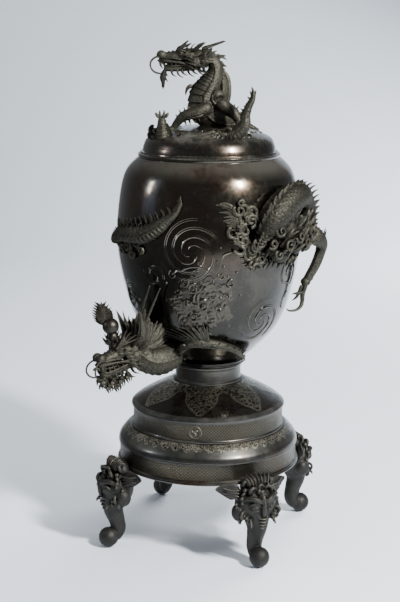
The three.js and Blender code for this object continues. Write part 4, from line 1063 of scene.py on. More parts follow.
def skull(place, flames):
    """The skull with its muzzle, nostrils, lips, eyes, brows, ears, cheek fins and upper teeth."""
    parts = [
        lump(place, (4, 0, -4), (25, 18, 17)),
        strand(place, [(0, 0, -2, 15), (24, 0, 0, 14), (46, 0, -3, 11.5), (62, 0, -5, 10.5), (78, 0, -9, 7)],
               1.15, UPRIGHT, 14),
    ]
    for i in range(5):
        x = 34 + 7.5 * i
        parts.append(strand(place, [(x, -10, 4 - i, 1.6), (x + 2, 0, 11 - 1.6 * i, 2.4),
                                    (x, 10, 4 - i, 1.6)]))
    for i in range(6):
        parts.append(thorn(place, (44 - 9 * i, 0, 9 + 1.1 * i), (34 - 10 * i, 0, 20 + 1.5 * i), 3.2,
                           (2, 0, 1), 0.5))

    def side_parts(side):
        at = beside(side)
        made = [
            lump(place, at(73, 6.5, 1), (9, 7, 8)),
            ring(place, at(79, 7.5, 0), 4, 1.7, (1, 0.6 * side, 0.1)),
            strand(place, [at(81, 4, -11, 2.4), at(66, 11, -11, 2.6), at(48, 13, -12, 2.6),
                           at(28, 15, -15, 3), at(10, 17, -21, 3)]),
            strand(place, [at(70, 10, -5, 2), at(52, 14, -5, 2.2), at(34, 15, -8, 2)]),
            lump(place, at(5, 15, -12), (17, 9, 12)),
            lump(place, at(35, 11.5, 6), (6, 5, 5.5)),
            strand(place, [at(44, 9, 4, 1.4), at(38, 15, 10, 2), at(29, 16, 9, 1.6), at(26, 15, 4, 1)]),
            strand(place, [at(44, 10, 3, 1.2), at(37, 16, 1, 1.8), at(28, 16, 2, 1)]),
            curl(place, at(16, 18, -12), 9, 2.4, FORWARD, UPRIGHT, 1.4, 0.1, 3 * side),
            strand(place, [at(14, 15, 9, 5), at(2, 21, 17, 6), at(-12, 25, 27, 1)], 0.45, (0, 1, 0), 10,
                   ridges=5),
        ]
        for reach, lift, out in flames:
            made.append(strand(place, [at(45, 9, 9, 2.6), at(40 - 0.4 * reach, 13, 11 + 0.4 * lift, 3.6),
                                       at(40 - reach, 15 + out, 10 + lift, 0.7)], 0.6, (0, 1, 0)))
        for i in range(5):
            made.append(blade(place, at(8 - 2 * i, 17, -24 + 6 * i),
                              at(-16 - 4 * (i % 2), 27 + i, -34 + 12 * i), 4.2, (0, 3 * side, 0), 0.5))
            made.append(blade(place, at(33 - 3 * i, 15, 2 - 6 * i), at(10 - 2 * i, 24, -3 - 8 * i), 4,
                              (2, 3 * side, 0), 0.5))
        for i in range(7):
            made.append(thorn(place, at(70 - 8 * i, 9 + 0.5 * i, -13), at(69 - 8 * i, 9 + 0.5 * i, -20),
                              2.2))
        made.append(thorn(place, at(74, 7, -11), at(68, 9, -28), 3.4, (3, 0, 0)))
        return made
    return parts + both(side_parts)


def lower_jaw(place, leafy):
    """The lower jaw with its lips, teeth, tongue and beard of curls or of leaves."""
    parts = [
        strand(place, [(-6, 0, -19, 10), (18, 0, -27, 9), (46, 0, -31, 7.5), (66, 0, -32, 7),
                       (76, 0, -30, 5)],
               1.25, UPRIGHT, 12),
        strand(place, [(14, 0, -21, 4), (40, 0, -22, 5), (62, 0, -21, 4), (80, 0, -16, 3.2),
                       (90, 0, -17, 1.4)],
               1.5, UPRIGHT),
    ]

    def side_parts(side):
        at = beside(side)
        made = [strand(place, [at(77, 3, -27, 2), at(60, 9, -27, 2.2), at(40, 11, -25, 2.4),
                               at(16, 13, -21, 2.4)])]
        for i in range(6):
            root = at(68 - 9 * i, 7 + 0.7 * i, -27 + 0.6 * i)
            made.append(thorn(place, root, (root[0] + 1, root[1], root[2] + 8), 2.1))
        made.append(thorn(place, at(74, 5, -28), at(76, 6, -14), 3))
        for i in range(7):
            reach = 15 + 4 * (i % 2) + (0 if leafy else 2)
            root = at(60 - 11 * i, 5 + i, -34 + 1.4 * i)
            tip = at(root[0] - 0.9 * reach, 8 + 2.4 * i, root[2] - reach)
            made.append(blade(place, root, tip, 4, (4, 0, -3), 0.6))
        if not leafy:
            for x, y, z, size in ((76, 7, -43, 9), (60, 10, -48, 9), (44, 12, -50, 9), (70, 10, -55, 7),
                                  (52, 9, -59, 7), (30, 14, -46, 8)):
                root = at(x - 5, y - 4, z + 10)
                for bend in (-1, 0, 1):
                    tip = at(x + 4 * bend - 4, y + 3 + 2 * bend, z - 1.2 * size)
                    made.append(blade(place, root, tip, 4.2, (4 * bend, 0, 0), 0.6))
                made.append(curl(place, at(x, y + 3, z + 3), 0.7 * size, 2.4, FORWARD, UPRIGHT, 1.1, 0.2,
                                 3 * side))
        return made
    parts += both(side_parts)
    if leafy:
        for share in (-1, 0, 1):
            parts.append(strand(place, [(71, 2 * share, -30, 4), (77 + 2 * share, 4 * share, -50, 11),
                                        (76 - 3 * share, 2 * share, -77 + 5 * abs(share), 1)],
                                0.4, (0, 1, 0), 10, ridges=5))
        for i in range(4):
            tip = (64 + 9 * (i % 2), 0, -50 - 6 * i)
            parts.append(thorn(place, (74, 0, -36 - 5 * i), tip, 3.4, (0, 0, -2), 0.6))
    return parts


def mane_locks(place, count, reach, tilts, broad):
    """A mane of flat, finely grooved locks that fans out between two tilts from upright."""
    parts = [lump(place, (-11, 0, -4), (13, 20, 19))]
    for i in range(count):
        share = i / (count - 1)
        side = (i % 5 - 2) / 2
        lean = math.radians(tilts[0] + (tilts[1] - tilts[0]) * share)
        length = reach * (1 - 0.3 * math.sin(2.4 * i) ** 2)
        ahead, up = -math.sin(lean), math.cos(lean)
        root = Vector((-4, 13 * side, -3))
        tip = Vector((-11 + length * ahead, side * (12 + 0.24 * length), -3 + length * up))
        middle = root.lerp(tip, 0.5) + Vector((-0.05 * length * up, 3 * side, 0.05 * length * ahead))
        width = broad * (1 + 0.3 * math.cos(1.7 * i))
        parts.append(strand(place, [(*root, width), (*middle, 0.85 * width), (*tip, 0.5)], 0.5,
                            (-up, 0.4 * side, ahead), 12, 2.6, 6))
    return parts


def horn(place, side, tilt, reach, drift):
    """A slim horn, ringed at its root, that leans back by its tilt and drifts to the left side."""
    lean = math.radians(tilt)

    def at(share, radius):
        return (-8 - share * reach * math.sin(lean), side * (8 + 6 * share) + drift * reach * share,
                14 + share * reach * math.cos(lean), radius)

    rings = [at(0.02 + 0.035 * i, 3.8 if i % 2 else 3.1) for i in range(7)]
    return [strand(place, [at(-0.08, 4.2)] + rings + [at(0.45, 2.6), at(0.75, 1.9), at(1, 1)], step=1.2)]


def feeler(place, side):
    """A wire feeler that leaves the nostril and sweeps forward in a loop to the chin."""
    loop = []
    for i in range(9):
        angle = math.pi * (0.1 + 0.8 * i / 8)
        loop.append((76 + 18 * math.sin(angle), side * (8 + 5 * math.sin(angle)), -19 + 16 * math.cos(angle),
                     1.7))
    return [strand(place, [(70, side * 8, -2, 2.4)] + loop + [(72, side * 7, -36, 1.4)], step=1.6)]


def paw(place, at, ahead, drop, size):
    """A clawed foot: a knuckled palm and talons that spread forwards and curl down."""
    ahead, drop = Vector(ahead).normalized(), Vector(drop).normalized()
    side = ahead.cross(drop)
    parts = [lump(place, at, (0.9 * size, 0.9 * size, 0.75 * size), 16)]
    for share in (-1, -0.33, 0.33, 1):
        root = Vector(at) + side * share * size * 0.6
        knuckle = root + ahead * size * 0.95 + side * share * size * 0.45 - drop * size * 0.25
        joint = knuckle + ahead * size * 0.5 + drop * size * 0.3
        tip = joint + ahead * size * 0.45 + drop * size * 1.0
        parts.append(strand(place, [(*root, 0.4 * size), (*knuckle, 0.36 * size), (*joint, 0.26 * size)]))
        parts.append(lump(place, knuckle, (0.42 * size,) * 3, 10))
        parts.append(strand(place, [(*joint, 0.24 * size),
                                    (*(joint.lerp(tip, 0.5) + ahead * size * 0.25), 0.2 * size),
                                    (*tip, 0.3)]))
    heel = Vector(at) - ahead * size * 0.9 + drop * size * 0.7
    parts.append(thorn(place, at, heel, 0.3 * size))
    return parts


def head_pieces(owner, place, leafy, mane, horns):
    """Makes one dragon's head, jaw, mane, horns and feelers in the place of their nodes."""
    bronze = finish("dragon_bronze")
    flames = [(26, 14, 7), (20, 20, 4)] if leafy else [(34, 20, 10), (26, 27, 6), (42, 13, 12), (20, 33, 3)]
    take_place(weld(owner + "_head_chased", skull(place, flames), bronze, 0.85), owner + "_head")
    gape = place @ Matrix.Translation((-3, 0, 5)) @ Matrix.Scale(0.94, 4) if leafy else place
    take_place(weld(owner + "_jaw_chased", lower_jaw(gape, leafy), bronze, 0.85), owner + "_jaw")
    take_place(join(owner + "_mane_locks", mane_locks(place, *mane), bronze), owner + "_mane")
    for name, side in (("left", 1), ("right", -1)):
        take_place(join(f"{owner}_horn_{name}_ringed", horn(place, side, *horns), bronze),
                   f"{owner}_horn_{name}")
        take_place(join(f"{owner}_feeler_{name}", feeler(place, side), bronze), f"{owner}_whisker_{name}")


# The dragon on the vase

NECK_PATH = [
    (-48.2, 59, 73, 19), (-46.6, 46, 75, 23), (-44.8, 34, 74, 27), (-41.2, 29, 58, 30), (-39.5, 32, 33, 29),
    (-38.5, 38, 8, 27), (-37.5, 46, -10, 24),
]
COIL_PATH = [
    (32, 280, 4, 17), (34, 296, 14, 22), (37, 314, 20, 26), (43, 333, 22, 27), (50, 346, 23, 26),
    (59, 350, 22, 24), (67, 340, 17, 22), (73, 318, 14, 21), (76, 290, 12, 21), (76, 262, 10, 19),
    (73, 238, 4, 14),
]
COIL_SPINES = [
    (45, 366, 32), (50, 372, 38), (55, 376, 42), (60, 377, 46), (65, 373, 48), (70, 366, 47), (74, 356, 46),
    (77, 345, 45), (80, 333, 43), (82, 320, 41), (83, 307, 39), (84, 293, 36), (84, 279, 34),
]
HIND_PATH = [
    (72, 276, 20, 17), (76, 262, 32, 16), (80, 248, 42, 12), (82, 232, 42, 10), (81, 204, 36, 9.5),
    (80, 182, 29, 8.5), (79, 168, 24, 8),
]
HIND_TALONS = [
    [(79, 170, 24, 6), (78.2, 157, 27, 4.6), (77.5, 150, 25, 3.8), (76, 148, 16, 2.8), (74.2, 147, 6, 0.8)],
    [(79, 168, 24, 6), (79.2, 143, 26, 5), (79.3, 131, 29, 4.2), (77.9, 121, 30, 3.8), (76, 114, 24, 2.9),
     (72.6, 114, 13, 2), (71.1, 119, 5, 0.8)],
    [(78, 164, 20, 4), (76.5, 142, 17, 3), (75, 133, 10, 0.8)],
]
FORELEG_PATH = [
    (-30, 40, 10, 8), (-22, 58, 8, 9), (-12, 70, 8, 9.5), (-2, 69, 7, 9), (12, 62, 7, 7.5), (27, 47, 8, 7),
    (38, 28, 10, 6.5),
]
TAIL_PATH = [
    (-84, 250, 1, 8), (-76, 256, 4, 10), (-67, 266, 6, 12), (-58, 273, 7, 14), (-49, 276, 7, 15),
    (-41, 278, 7, 15), (-34.5, 287, 7, 14), (-29, 299, 7, 12), (-24, 312, 6, 9), (-19.5, 326, 5, 6),
    (-16.5, 345, 2, 3),
]


def dragon_neck():
    return [scaly(by_walls(NECK_PATH), UPRIGHT, 1.1, 0.3, 1.5, lift=0.1)]


def dragon_coil():
    """The arched body, its spines and haunch, and the flames that lick along its flank."""
    middle = np.array(by_wall(53, 276, 0))
    parts = [scaly(by_walls(COIL_PATH), lambda centres: centres - middle, 1.0, 0.34, 2.3, (0.4, 0.6),
                   lift=0.3)]
    for i, (turn, height, out) in enumerate(COIL_SPINES):
        parts.append(wall_blade((turn - 3.5, height - 20, out - 22), (turn + 1, height, out), 8.5 - 0.2 * i,
                                (0, 0, 4), 0.45))
    parts.append(lump(Matrix(), by_wall(49, 288, 8), (26, 26, 34)))
    parts.append(lump(Matrix(), by_wall(61, 286, 10), (22, 22, 28)))
    for i in range(9):
        turn, height = 26 + 1.4 * i, 262 + 5.5 * i
        parts.append(wall_curl(turn, height, 16 + 2 * i, 11, 3.2, 1.3, 0.31 * i, 5))
    parts.append(lump(Matrix(), by_wall(46, 240, 0), (24, 24, 16)))
    for turn, height, reach, turns, start in (
        (38, 292, 13, 1.5, 0.2), (33, 270, 10, 1.3, 0.6), (44, 262, 11, 1.4, 0.1), (52, 276, 12, 1.4, 0.5),
        (37, 248, 9, 1.3, 0.3), (58, 262, 10, 1.3, 0.8), (64, 280, 10, 1.2, 0.2),
    ):
        parts.append(wall_curl(turn, height, 36, reach, 3.4, turns, start, 6))
    for i in range(46):
        turn = 35 + 0.72 * i + 2 * math.sin(4 * i)
        height = 270 + 30 * math.sin(2.3 * i)
        tip = (turn + 4 + 3 * math.sin(1.3 * i), height + 24 + 8 * math.cos(1.9 * i), 37 + 4 * math.sin(i))
        parts.append(wall_blade((turn, height, 24), tip, 5.8, (4, 0, 5)))
    for i in range(12):
        turn, height = 33 + 3.1 * i, 238 + 5 * math.sin(1.9 * i)
        tip = (turn + 3 + 2.5 * math.sin(i), height + 34 + 9 * math.cos(2.3 * i), 22)
        parts.append(wall_blade((turn, height, 8), tip, 5.5, (3, -5, -3)))
    for i in range(9):
        turn = 30 + 4.4 * i
        parts.append(wall_blade((turn + 2, 236, 6), (turn - 3, 213 + 5 * (i % 2), 5), 5, (0, -3, 0)))
    return parts


def hind_leg():
    parts = [scaly(by_walls(HIND_PATH), lambda centres: centres - np.array(by_wall(76, 215, 0)), 0.8, 0.1,
                   2.2, lift=0.32)]
    for i, (turn, height, out) in enumerate(((77, 276, 46), (80, 279, 50), (83, 273, 51), (84, 264, 49),
                                             (74, 282, 42))):
        parts.append(wall_blade((turn - 1, height - 28, out - 6), (turn, height, out), 5.5 - 0.3 * i))
    for height in (236, 222, 196, 178):
        drop = 236 - height
        root = by_wall(80.5, height, 44 - 0.16 * drop)
        parts.append(thorn(Matrix(), root, by_wall(83, height - 9, 47 - 0.2 * drop), 4))
    parts += [bar(by_walls(path), around=10, step=1.6) for path in HIND_TALONS]
    parts.append(lump(Matrix(), by_wall(79, 170, 25), (10, 10, 9)))
    return parts


def vase_foreleg():
    """The foreleg that reaches along the foot of the wall, with a fan of flame tufts at its elbow."""
    parts = [scaly(by_walls(FORELEG_PATH), UPRIGHT, 0.72, 0.1, 2.6)]
    for i in range(17):
        share = i / 16
        root = (-12 + 12 * share, 66 + 4 * share, 11)
        tip = (-41 + 40 * share, 76 + 32 * math.sin(1.6 * share) + 5 * (i % 2), 7)
        parts.append(wall_blade(root, tip, 3.6, (0, -3, 4), 0.5))
    for i in range(5):
        parts.append(wall_blade((6 + 7 * i, 62 - 7 * i, 12), (10 + 7 * i, 74 - 7 * i, 15), 3, (0, 2, 0),
                                0.6))
    for i in range(4):
        parts.append(wall_curl(-20 + 8 * i, 62 + 4 * math.sin(i), 17, 6, 2, 1.1, 0.3 * i, 2))
    at = by_wall(37, 30, 12)
    parts += paw(Matrix(), tuple(at), tuple(by_wall(50, 16, 10) - at), (0, 0, -1), 7.5)
    return parts


def vase_tail():
    """The tail on the shoulder: its leafy tip, fins, ribbed underside and the scrolls beside it."""
    parts = [scaly(by_walls(TAIL_PATH), (-0.25, 0.1, 1), 0.9, 0.5, 1.7, (1, 2), lift=0.34)]
    for i in range(12):
        turn, height = -21 - 3.9 * i, 327 - 5.6 * i + 0.22 * i * i
        parts.append(wall_blade((turn - 0.5, height - 7, 8), (turn - 4, height + 9, 9), 4.6, (0, 0, 2), 0.5))
    for lean, reach in ((-2.6, 14), (-1.2, 19), (0.2, 21), (1.2, 15)):
        parts.append(wall_blade((-17.2, 336, 4), (-17.4 + 0.6 * lean, 336 + reach, 4.5), 2.8, flat=0.5,
                                ridges=3))
    for turn, height, reach, turns, start in (
        (-47, 263, 12, 1.4, 0.3), (-57, 250, 13, 1.4, 0.9), (-52, 238, 9, 1.2, 0.4),
        (-64, 240, 10, 1.3, 0.2), (-44, 249, 7, 1.1, 0.7), (-70, 252, 8, 1.2, 0.5),
    ):
        parts.append(wall_curl(turn, height, 3, reach, 3.6, turns, start, 3))
    for i in range(8):
        parts.append(wall_blade((-66 - 2 * i, 268 - 3 * i, 6), (-70 - 2.4 * i, 284 - 6 * i, 12), 4.4,
                                (0, 0, 2)))
    return parts


def spray_curls():
    """Foam that breaks over the wall beside the coil."""
    bank = [(18, 334, 0, 5), (18, 314, 0, 8), (20, 292, 0, 10), (22, 266, 0, 10), (26, 240, 0, 8),
            (30, 226, 0, 4)]
    parts = [bar(by_walls(bank), UPRIGHT, 12, flat=0.8)]
    for i in range(36):
        share = i / 35
        turn = 19 + 5 * math.sin(9 * share) + 5 * share + 2.6 * math.sin(5.1 * i)
        height = 338 - 112 * share + 5 * math.cos(3.7 * i)
        reach = 6 + 8 * math.sin(2.1 * i) ** 2
        parts.append(wall_curl(turn, height, 6 + 3 * math.sin(3.3 * i), reach, 1.7 + 0.2 * reach,
                               1.0 + 0.4 * math.cos(i), 0.37 * i, 4))
        if i % 3 == 0:
            parts.append(lump(Matrix(), by_wall(turn + 1, height, -1), (9, 7, 11), 14))
    for i in range(22):
        turn, height = 9 + 0.8 * i, 344 - 5.6 * i
        reach = 3 + 3 * math.sin(1.7 * i) ** 2
        parts.append(wall_blade((turn + 5, height - 8, 5), (turn - reach, height + 4 * math.sin(i), 4), 3.6,
                                (0, 0, 3)))
    return parts


def jewel_flame(place):
    """The jewel in its cup of flames, with a serrated leaf of fire behind it."""
    centre = place @ Vector((42, 0, 50))
    world = Matrix.Translation(centre) @ ornament_turn()
    parts = [lump(world, (0, 0, 0), (16, 16, 16), 32)]
    parts.append(strand(place, [(38, 0, 6, 7), (40, 0, 24, 10.5), (42, 0, 42, 10)], around=12))
    for i in range(14):
        angle = 2 * math.pi * i / 14
        ahead, side = math.cos(angle), math.sin(angle)
        root = (40 + 8 * ahead, 8 * side, 22)
        tip = (40 + 19 * ahead, 19 * side, 27 + 7 * (i % 2))
        parts.append(blade(place, root, tip, 4, (0, 0, -3), 0.6))
    leaf = [(-5, 6, 9), (-9, 16, 13), (-14, 28, 13), (-17, 44, 3)]
    parts.append(strand(world, [(x, 0.2 * x, z, r) for x, z, r in leaf], 0.3, (1, 0.2, 0), 16, 2, 7))
    for i in range(8):
        height = 4 + 5 * i
        left = -27 - 9 * math.sin(math.pi * (height + 4) / 48)
        parts.append(blade(world, (-9 - 0.15 * height, -1, height), (left, -2, height + 9), 7, (0, 0, -2),
                           0.4, ridges=3))
    for i in range(6):
        height = 10 + 6 * i
        right = 8 - 0.62 * i * i
        parts.append(blade(world, (-6 - 0.2 * height, -1, height), (right, -2, height + 10), 6.4, (0, 0, -2),
                           0.4, ridges=3))
    for lean in (-6, 0, 5):
        parts.append(blade(world, (-15, -1, 32), (-18 + lean, -2, 49 - 0.5 * abs(lean)), 6.4, flat=0.4,
                           ridges=3))
    return parts


# The dragon on the lid

FINIAL_PATH = [
    (-20, 0, 134, 11.5), (-6, 0, 132, 12), (6, 0, 124, 12.5), (11, 0, 111, 14), (8, 0, 97, 17),
    (0, 0, 82, 22),
    (-8, 0, 64, 29), (-10, 0, 46, 32), (-6, 4, 28, 31), (20, 20, 14, 25), (46, 32, 6, 17), (66, 34, 0, 10),
    (84, 32, -6, 5), (98, 30, -12, 3),
]
FINIAL_LEFT_LEG = [(4, -24, 40, 14), (-16, -32, 31, 12.5), (-36, -34, 25, 10.5), (-52, -32, 18, 9),
                   (-63, -30, 6, 7), (-71, -30, -7, 6)]
FINIAL_RIGHT_LEG = [(16, -22, 50, 14), (30, -28, 38, 12.5), (46, -32, 27, 10.5), (57, -34, 12, 7.5),
                    (56, -40, -6, 6)]
FINIAL_TAIL = [(8, -84, -14, 9), (30, -88, -13, 12.5), (52, -90, -7, 12.5), (67, -88, 8, 10.5),
               (69, -86, 26, 8.5),
               (74, -85, 42, 7), (81, -84, 56, 5.5), (83, -84, 68, 3.4), (79, -84, 80, 0.9)]


def finial_body(place):
    """The rearing body with its plated chest, back fins and the spines behind its neck."""
    back = tuple(place.to_3x3() @ Vector((1, 0.15, 0.75)))
    parts = [scaly(moved(FINIAL_PATH, place), back, 0.85, 0.2, 1.72)]
    parts += tufts(place, [
        ((6, 2, 138), (16, 4, 143)), ((12, 2, 134), (34, 4, 126)), ((14, 2, 128), (33, 4, 134)),
        ((18, 2, 120), (28, 4, 118)), ((20, 2, 114), (34, 4, 113)), ((20, 2, 106), (31, 4, 107)),
        ((18, 0, 98), (30, 2, 98)), ((19, 0, 92), (31, 2, 91)),
    ], 4.2, (0, 0, 2))
    fin = [(14, 10, 106, 6), (26, 10, 92, 11), (29, 10, 70, 12), (26, 10, 48, 12), (18, 10, 30, 8)]
    parts.append(strand(place, fin, 0.4, FORWARD, 14, 2, 7))
    for i in range(5):
        parts.append(strand(place, [(14, 10, 96 - 12 * i, 3), (30, 10, 92 - 12 * i, 3.4),
                                    (38, 10, 80 - 12 * i, 1)],
                            0.6, (0, 1, 0)))
    parts.append(strand(place, [(-32, -6, 78, 4.4), (-41, -8, 74, 3.8), (-45, -8, 66, 2.4),
                                (-46, -8, 58, 0.6)]))
    parts.append(lump(place, (14, -20, 52), (17, 12, 20)))
    parts.append(curl(place, (16, -31, 52), 11, 2.6, FORWARD, UPRIGHT, 1.4, 0.3, -3))
    for i in range(6):
        parts.append(blade(place, (4 + 5 * i, -27, 44 + 3 * i), (6 + 7 * i, -34, 62 + 4 * (i % 2)), 3.6,
                           (0, -2, 0), 0.5))
    return parts


def finial_left_foreleg(place):
    parts = [scaly(moved(FINIAL_LEFT_LEG, place), UPRIGHT, 0.6, 0.1, 2.7)]
    parts += paw(place, (-73, -31, -4), (-1, -0.3, -0.1), (-0.2, 0, -1), 8)
    parts += tufts(place, [
        ((-46, -33, 24), (-49, -33, 39)), ((-52, -33, 21), (-59, -33, 34)), ((-40, -33, 26), (-40, -33, 41)),
        ((-56, -33, 16), (-66, -33, 24)), ((-48, -34, 14), (-44, -36, 3)), ((-30, -34, 18), (-26, -36, 6)),
        ((-39, -34, 15), (-36, -36, 4)), ((-22, -34, 22), (-18, -36, 10)),
    ], 3.8, flat=0.6)
    for i in range(3):
        parts.append(strand(place, [(-3 * i, -36, 38 - 5 * i, 2), (-20, -43, 31 - 5 * i, 2.6),
                                    (-44, -42, 24 - 4 * i, 1)]))
    return parts


def finial_right_foreleg(place):
    parts = [scaly(moved(FINIAL_RIGHT_LEG, place), UPRIGHT, 0.6, 0.1, 2.7)]
    parts += paw(place, (56, -42, -4), (-0.4, -1, -0.1), (0, -0.2, -1), 7)
    parts += tufts(place, [
        ((48, -33, 32), (58, -34, 41)), ((54, -34, 24), (69, -35, 32)), ((55, -35, 18), (71, -36, 25)),
        ((56, -35, 13), (70, -36, 17)), ((57, -36, 6), (69, -38, 7)), ((44, -33, 34), (50, -34, 46)),
        ((57, -37, 0), (66, -39, -2)),
    ], 3.8, flat=0.6)
    return parts


def lid_tail(place):
    parts = [scaly(moved(FINIAL_TAIL, place), (-1, 0, 0.35), 0.6, 0.3, 1.8, (1, 2))]
    parts += tufts(place, [
        ((68, -86, 24), (58, -87, 41)), ((70, -86, 32), (64, -87, 46)), ((66, -87, 16), (54, -88, 32)),
        ((78, -85, 52), (70, -86, 62)), ((80, -84, 62), (75, -85, 72)), ((84, -84, 60), (88, -84, 74)),
        ((20, -90, -10), (-4, -100, -7)), ((22, -94, -14), (6, -106, -16)),
        ((30, -92, -10), (20, -110, -20)),
        ((26, -94, -10), (4, -104, -11)), ((24, -96, -12), (12, -110, -19)),
    ], 4.6, (0, 0, 2), 0.5)
    parts.append(curl(place, (34, -98, -6), 11, 2.8, (1, -0.3, 0), (0, -0.4, 1), 1.4, 0.1, -3))
    parts.append(curl(place, (16, -96, -8), 8, 2.4, (1, -0.3, 0), (0, -0.4, 1), 1.3, 0.6, -3))
    parts.append(lump(place, (28, -90, -10), (18, 12, 9)))
    return parts


def upright_claw(place):
    """The clawed foot that stands up out of the waves, wrinkled and ringed at its wrist."""
    parts = [strand(place, [(-88, -62, -30, 15), (-89, -62, -16, 13), (-90, -62, -4, 11),
                            (-90, -62, 10, 8.5), (-90, -62, 22, 7)], 1, None, 14)]
    for i in range(5):
        parts.append(ring(place, (-89.5, -62, -12 + 7 * i), 12 - 1.4 * i, 1.7, (0.05 * i, 0, 1)))
    for across, up in ((-11, 30), (-4, 35), (4, 35), (11, 30)):
        parts.append(strand(place, [(-90 + 0.5 * across, -62, 19, 3.6), (-90 + across, -63, 27, 2.9),
                                    (-90 + 1.15 * across, -62, up, 0.6)]))
    for i in range(6):
        parts.append(blade(place, (-84 + 0.6 * i, -61, 10 - 4 * i), (-74 + 2 * i, -58, -3 - 3.6 * i), 4,
                           (0, 0, 2), 0.6))
    parts.append(curl(place, (-82, -70, -16), 9, 2.4, FORWARD, UPRIGHT, 1.3, 0.2, -2))
    return parts


def breaking_wave(place):
    """The crest of a wave in curls beside the clawed foot."""
    parts = [lump(place, (-99, -36, -22), (15, 14, 15), 18)]
    for at, reach, start in (
        ((-108, -40, -6), 9, 0.2), ((-104, -44, -20), 10, 0.6), ((-112, -36, -16), 8, 0.9),
        ((-100, -46, -6), 7, 0.4), ((-108, -30, -22), 9, 0.1), ((-98, -48, -28), 8, 0.7),
    ):
        parts.append(curl(place, at, reach, 3.2, (1, 0.5, 0), UPRIGHT, 1.4, start, -3))
        parts.append(lump(place, at, (0.6 * reach, 0.5 * reach, 0.6 * reach), 12))
    return parts


# The legs

def mask_leg():
    """An elephant mask whose trunk runs down to a ball foot, facing +X."""
    place = Matrix.Translation((203, 0, 122))
    parts = [
        strand(place, [(2, 0, 10, 31), (6, 0, -22, 26), (8, 0, -44, 20), (1, 0, -68, 16.2),
                       (-2, 0, -86, 15.2), (5, 0, -98, 14.4), (17, 0, -102, 13)], 1, FORWARD, 28, 2.5),
        lump(place, (19, 0, -101.6), (20, 20, 20), 40),
        lump(place, (0, 0, 4), (32, 42, 38), 36),
        lump(place, (-6, 0, 36), (20, 29, 24), 28),
        strand(place, [(30, 0, 30, 5), (35, 0, 16, 6), (36, 0, -2, 5), (34, 0, -14, 3)]),
    ]
    for i, (height, out) in enumerate(((22, 27), (32, 23), (42, 17))):
        parts.append(curl(place, (out, 0, height), 9 - i, 4, (0, 1, 0.1), (0.3, 0, 1), 1.3, 0.3 * i, 4))
    for i in range(7):
        side = (i - 3) / 3
        parts.append(strand(place, [(12, 18 * side, 40, 6), (3, 24 * side, 53, 7),
                                    (-6, 30 * side, 64 - 6 * abs(side), 1)],
                            0.5, (1, 0, 1), 12, ridges=5))
    for i in range(4):
        height = -16 - 7 * i
        reach = 30 - 2.4 * i
        parts.append(strand(place, [(12, -reach + 8, height + 5, 1.2), (8 + reach, 0, height - 2, 1.8),
                                    (12, reach - 8, height + 5, 1.2)]))

    def side_parts(side):
        at = beside(side)
        made = [
            lump(place, at(2, 36, -10), (16, 15, 18), 28),
            lump(place, at(27, 15, 7), (10, 11, 8.5)),
            lump(place, at(33.5, 15.5, 7), (4, 4.2, 4.2)),
            strand(place, [at(33, 6, 4, 1.6), at(35, 13, 13.5, 2.4), at(30, 23, 12, 2.4),
                           at(24, 27, 5, 1.4)]),
            strand(place, [at(33, 7, 3, 1.4), at(34, 15, 0, 2.2), at(26, 26, 3, 1.4)]),
            strand(place, [at(36, 4, 14, 4.2), at(34, 14, 21, 5.6), at(25, 26, 23, 5.4),
                           at(14, 37, 17, 2.8)]),
            curl(place, at(14, 35, 15), 8, 4, (0.5, side, 0), UPRIGHT, 1.3, 0.1, 2 * side),
            curl(place, at(18, 16, 37), 12, 5, (0.4, side, 0), (0.4, 0, 1), 1.4, 0.4, 3 * side),
            curl(place, at(10, 31, 29), 9, 4.6, (0.5, side, 0), (0.4, 0, 1), 1.3, 0.2, 3 * side),
            curl(place, at(2, 24, 48), 9, 4.4, (0.6, side, 0), (0.4, 0, 1), 1.3, 0.6, 3 * side),
            curl(place, at(17, 37, -9), 11, 3.6, (0.7, side, 0), UPRIGHT, 1.6, 0.3, 4 * side),
            curl(place, at(11, 38, -22), 7, 2.8, (0.6, side, 0), UPRIGHT, 1.4, 0.7, 2 * side),
            curl(place, at(6, 43, 3), 7, 2.8, (0.5, side, 0), UPRIGHT, 1.4, 0.1, 2 * side),
            curl(place, at(21, 29, -22), 7, 3.4, (0.8, side, 0), UPRIGHT, 1.2, 0.1, 2 * side),
        ]
        ear = [at(-2, 32, 26, 16), at(-9, 46, 30, 17), at(-16, 62, 34, 11), at(-20, 78, 36, 2)]
        made.append(strand(place, ear, 0.3, UPRIGHT, 18))
        for i in range(4):
            root, tip = 14 + 7 * i, 20 + 6 * i
            made.append(strand(place, [at(4, 36, root, 2), at(-4, 52, 0.6 * root + 14, 2.4),
                                       at(-13, 62 + 4 * (i % 2), tip + 2, 1)]))
        made.append(thorn(place, at(22, 24, -18), at(34, 27, -34), 4, (4, 0, -2)))
        return made
    return parts + both(side_parts)


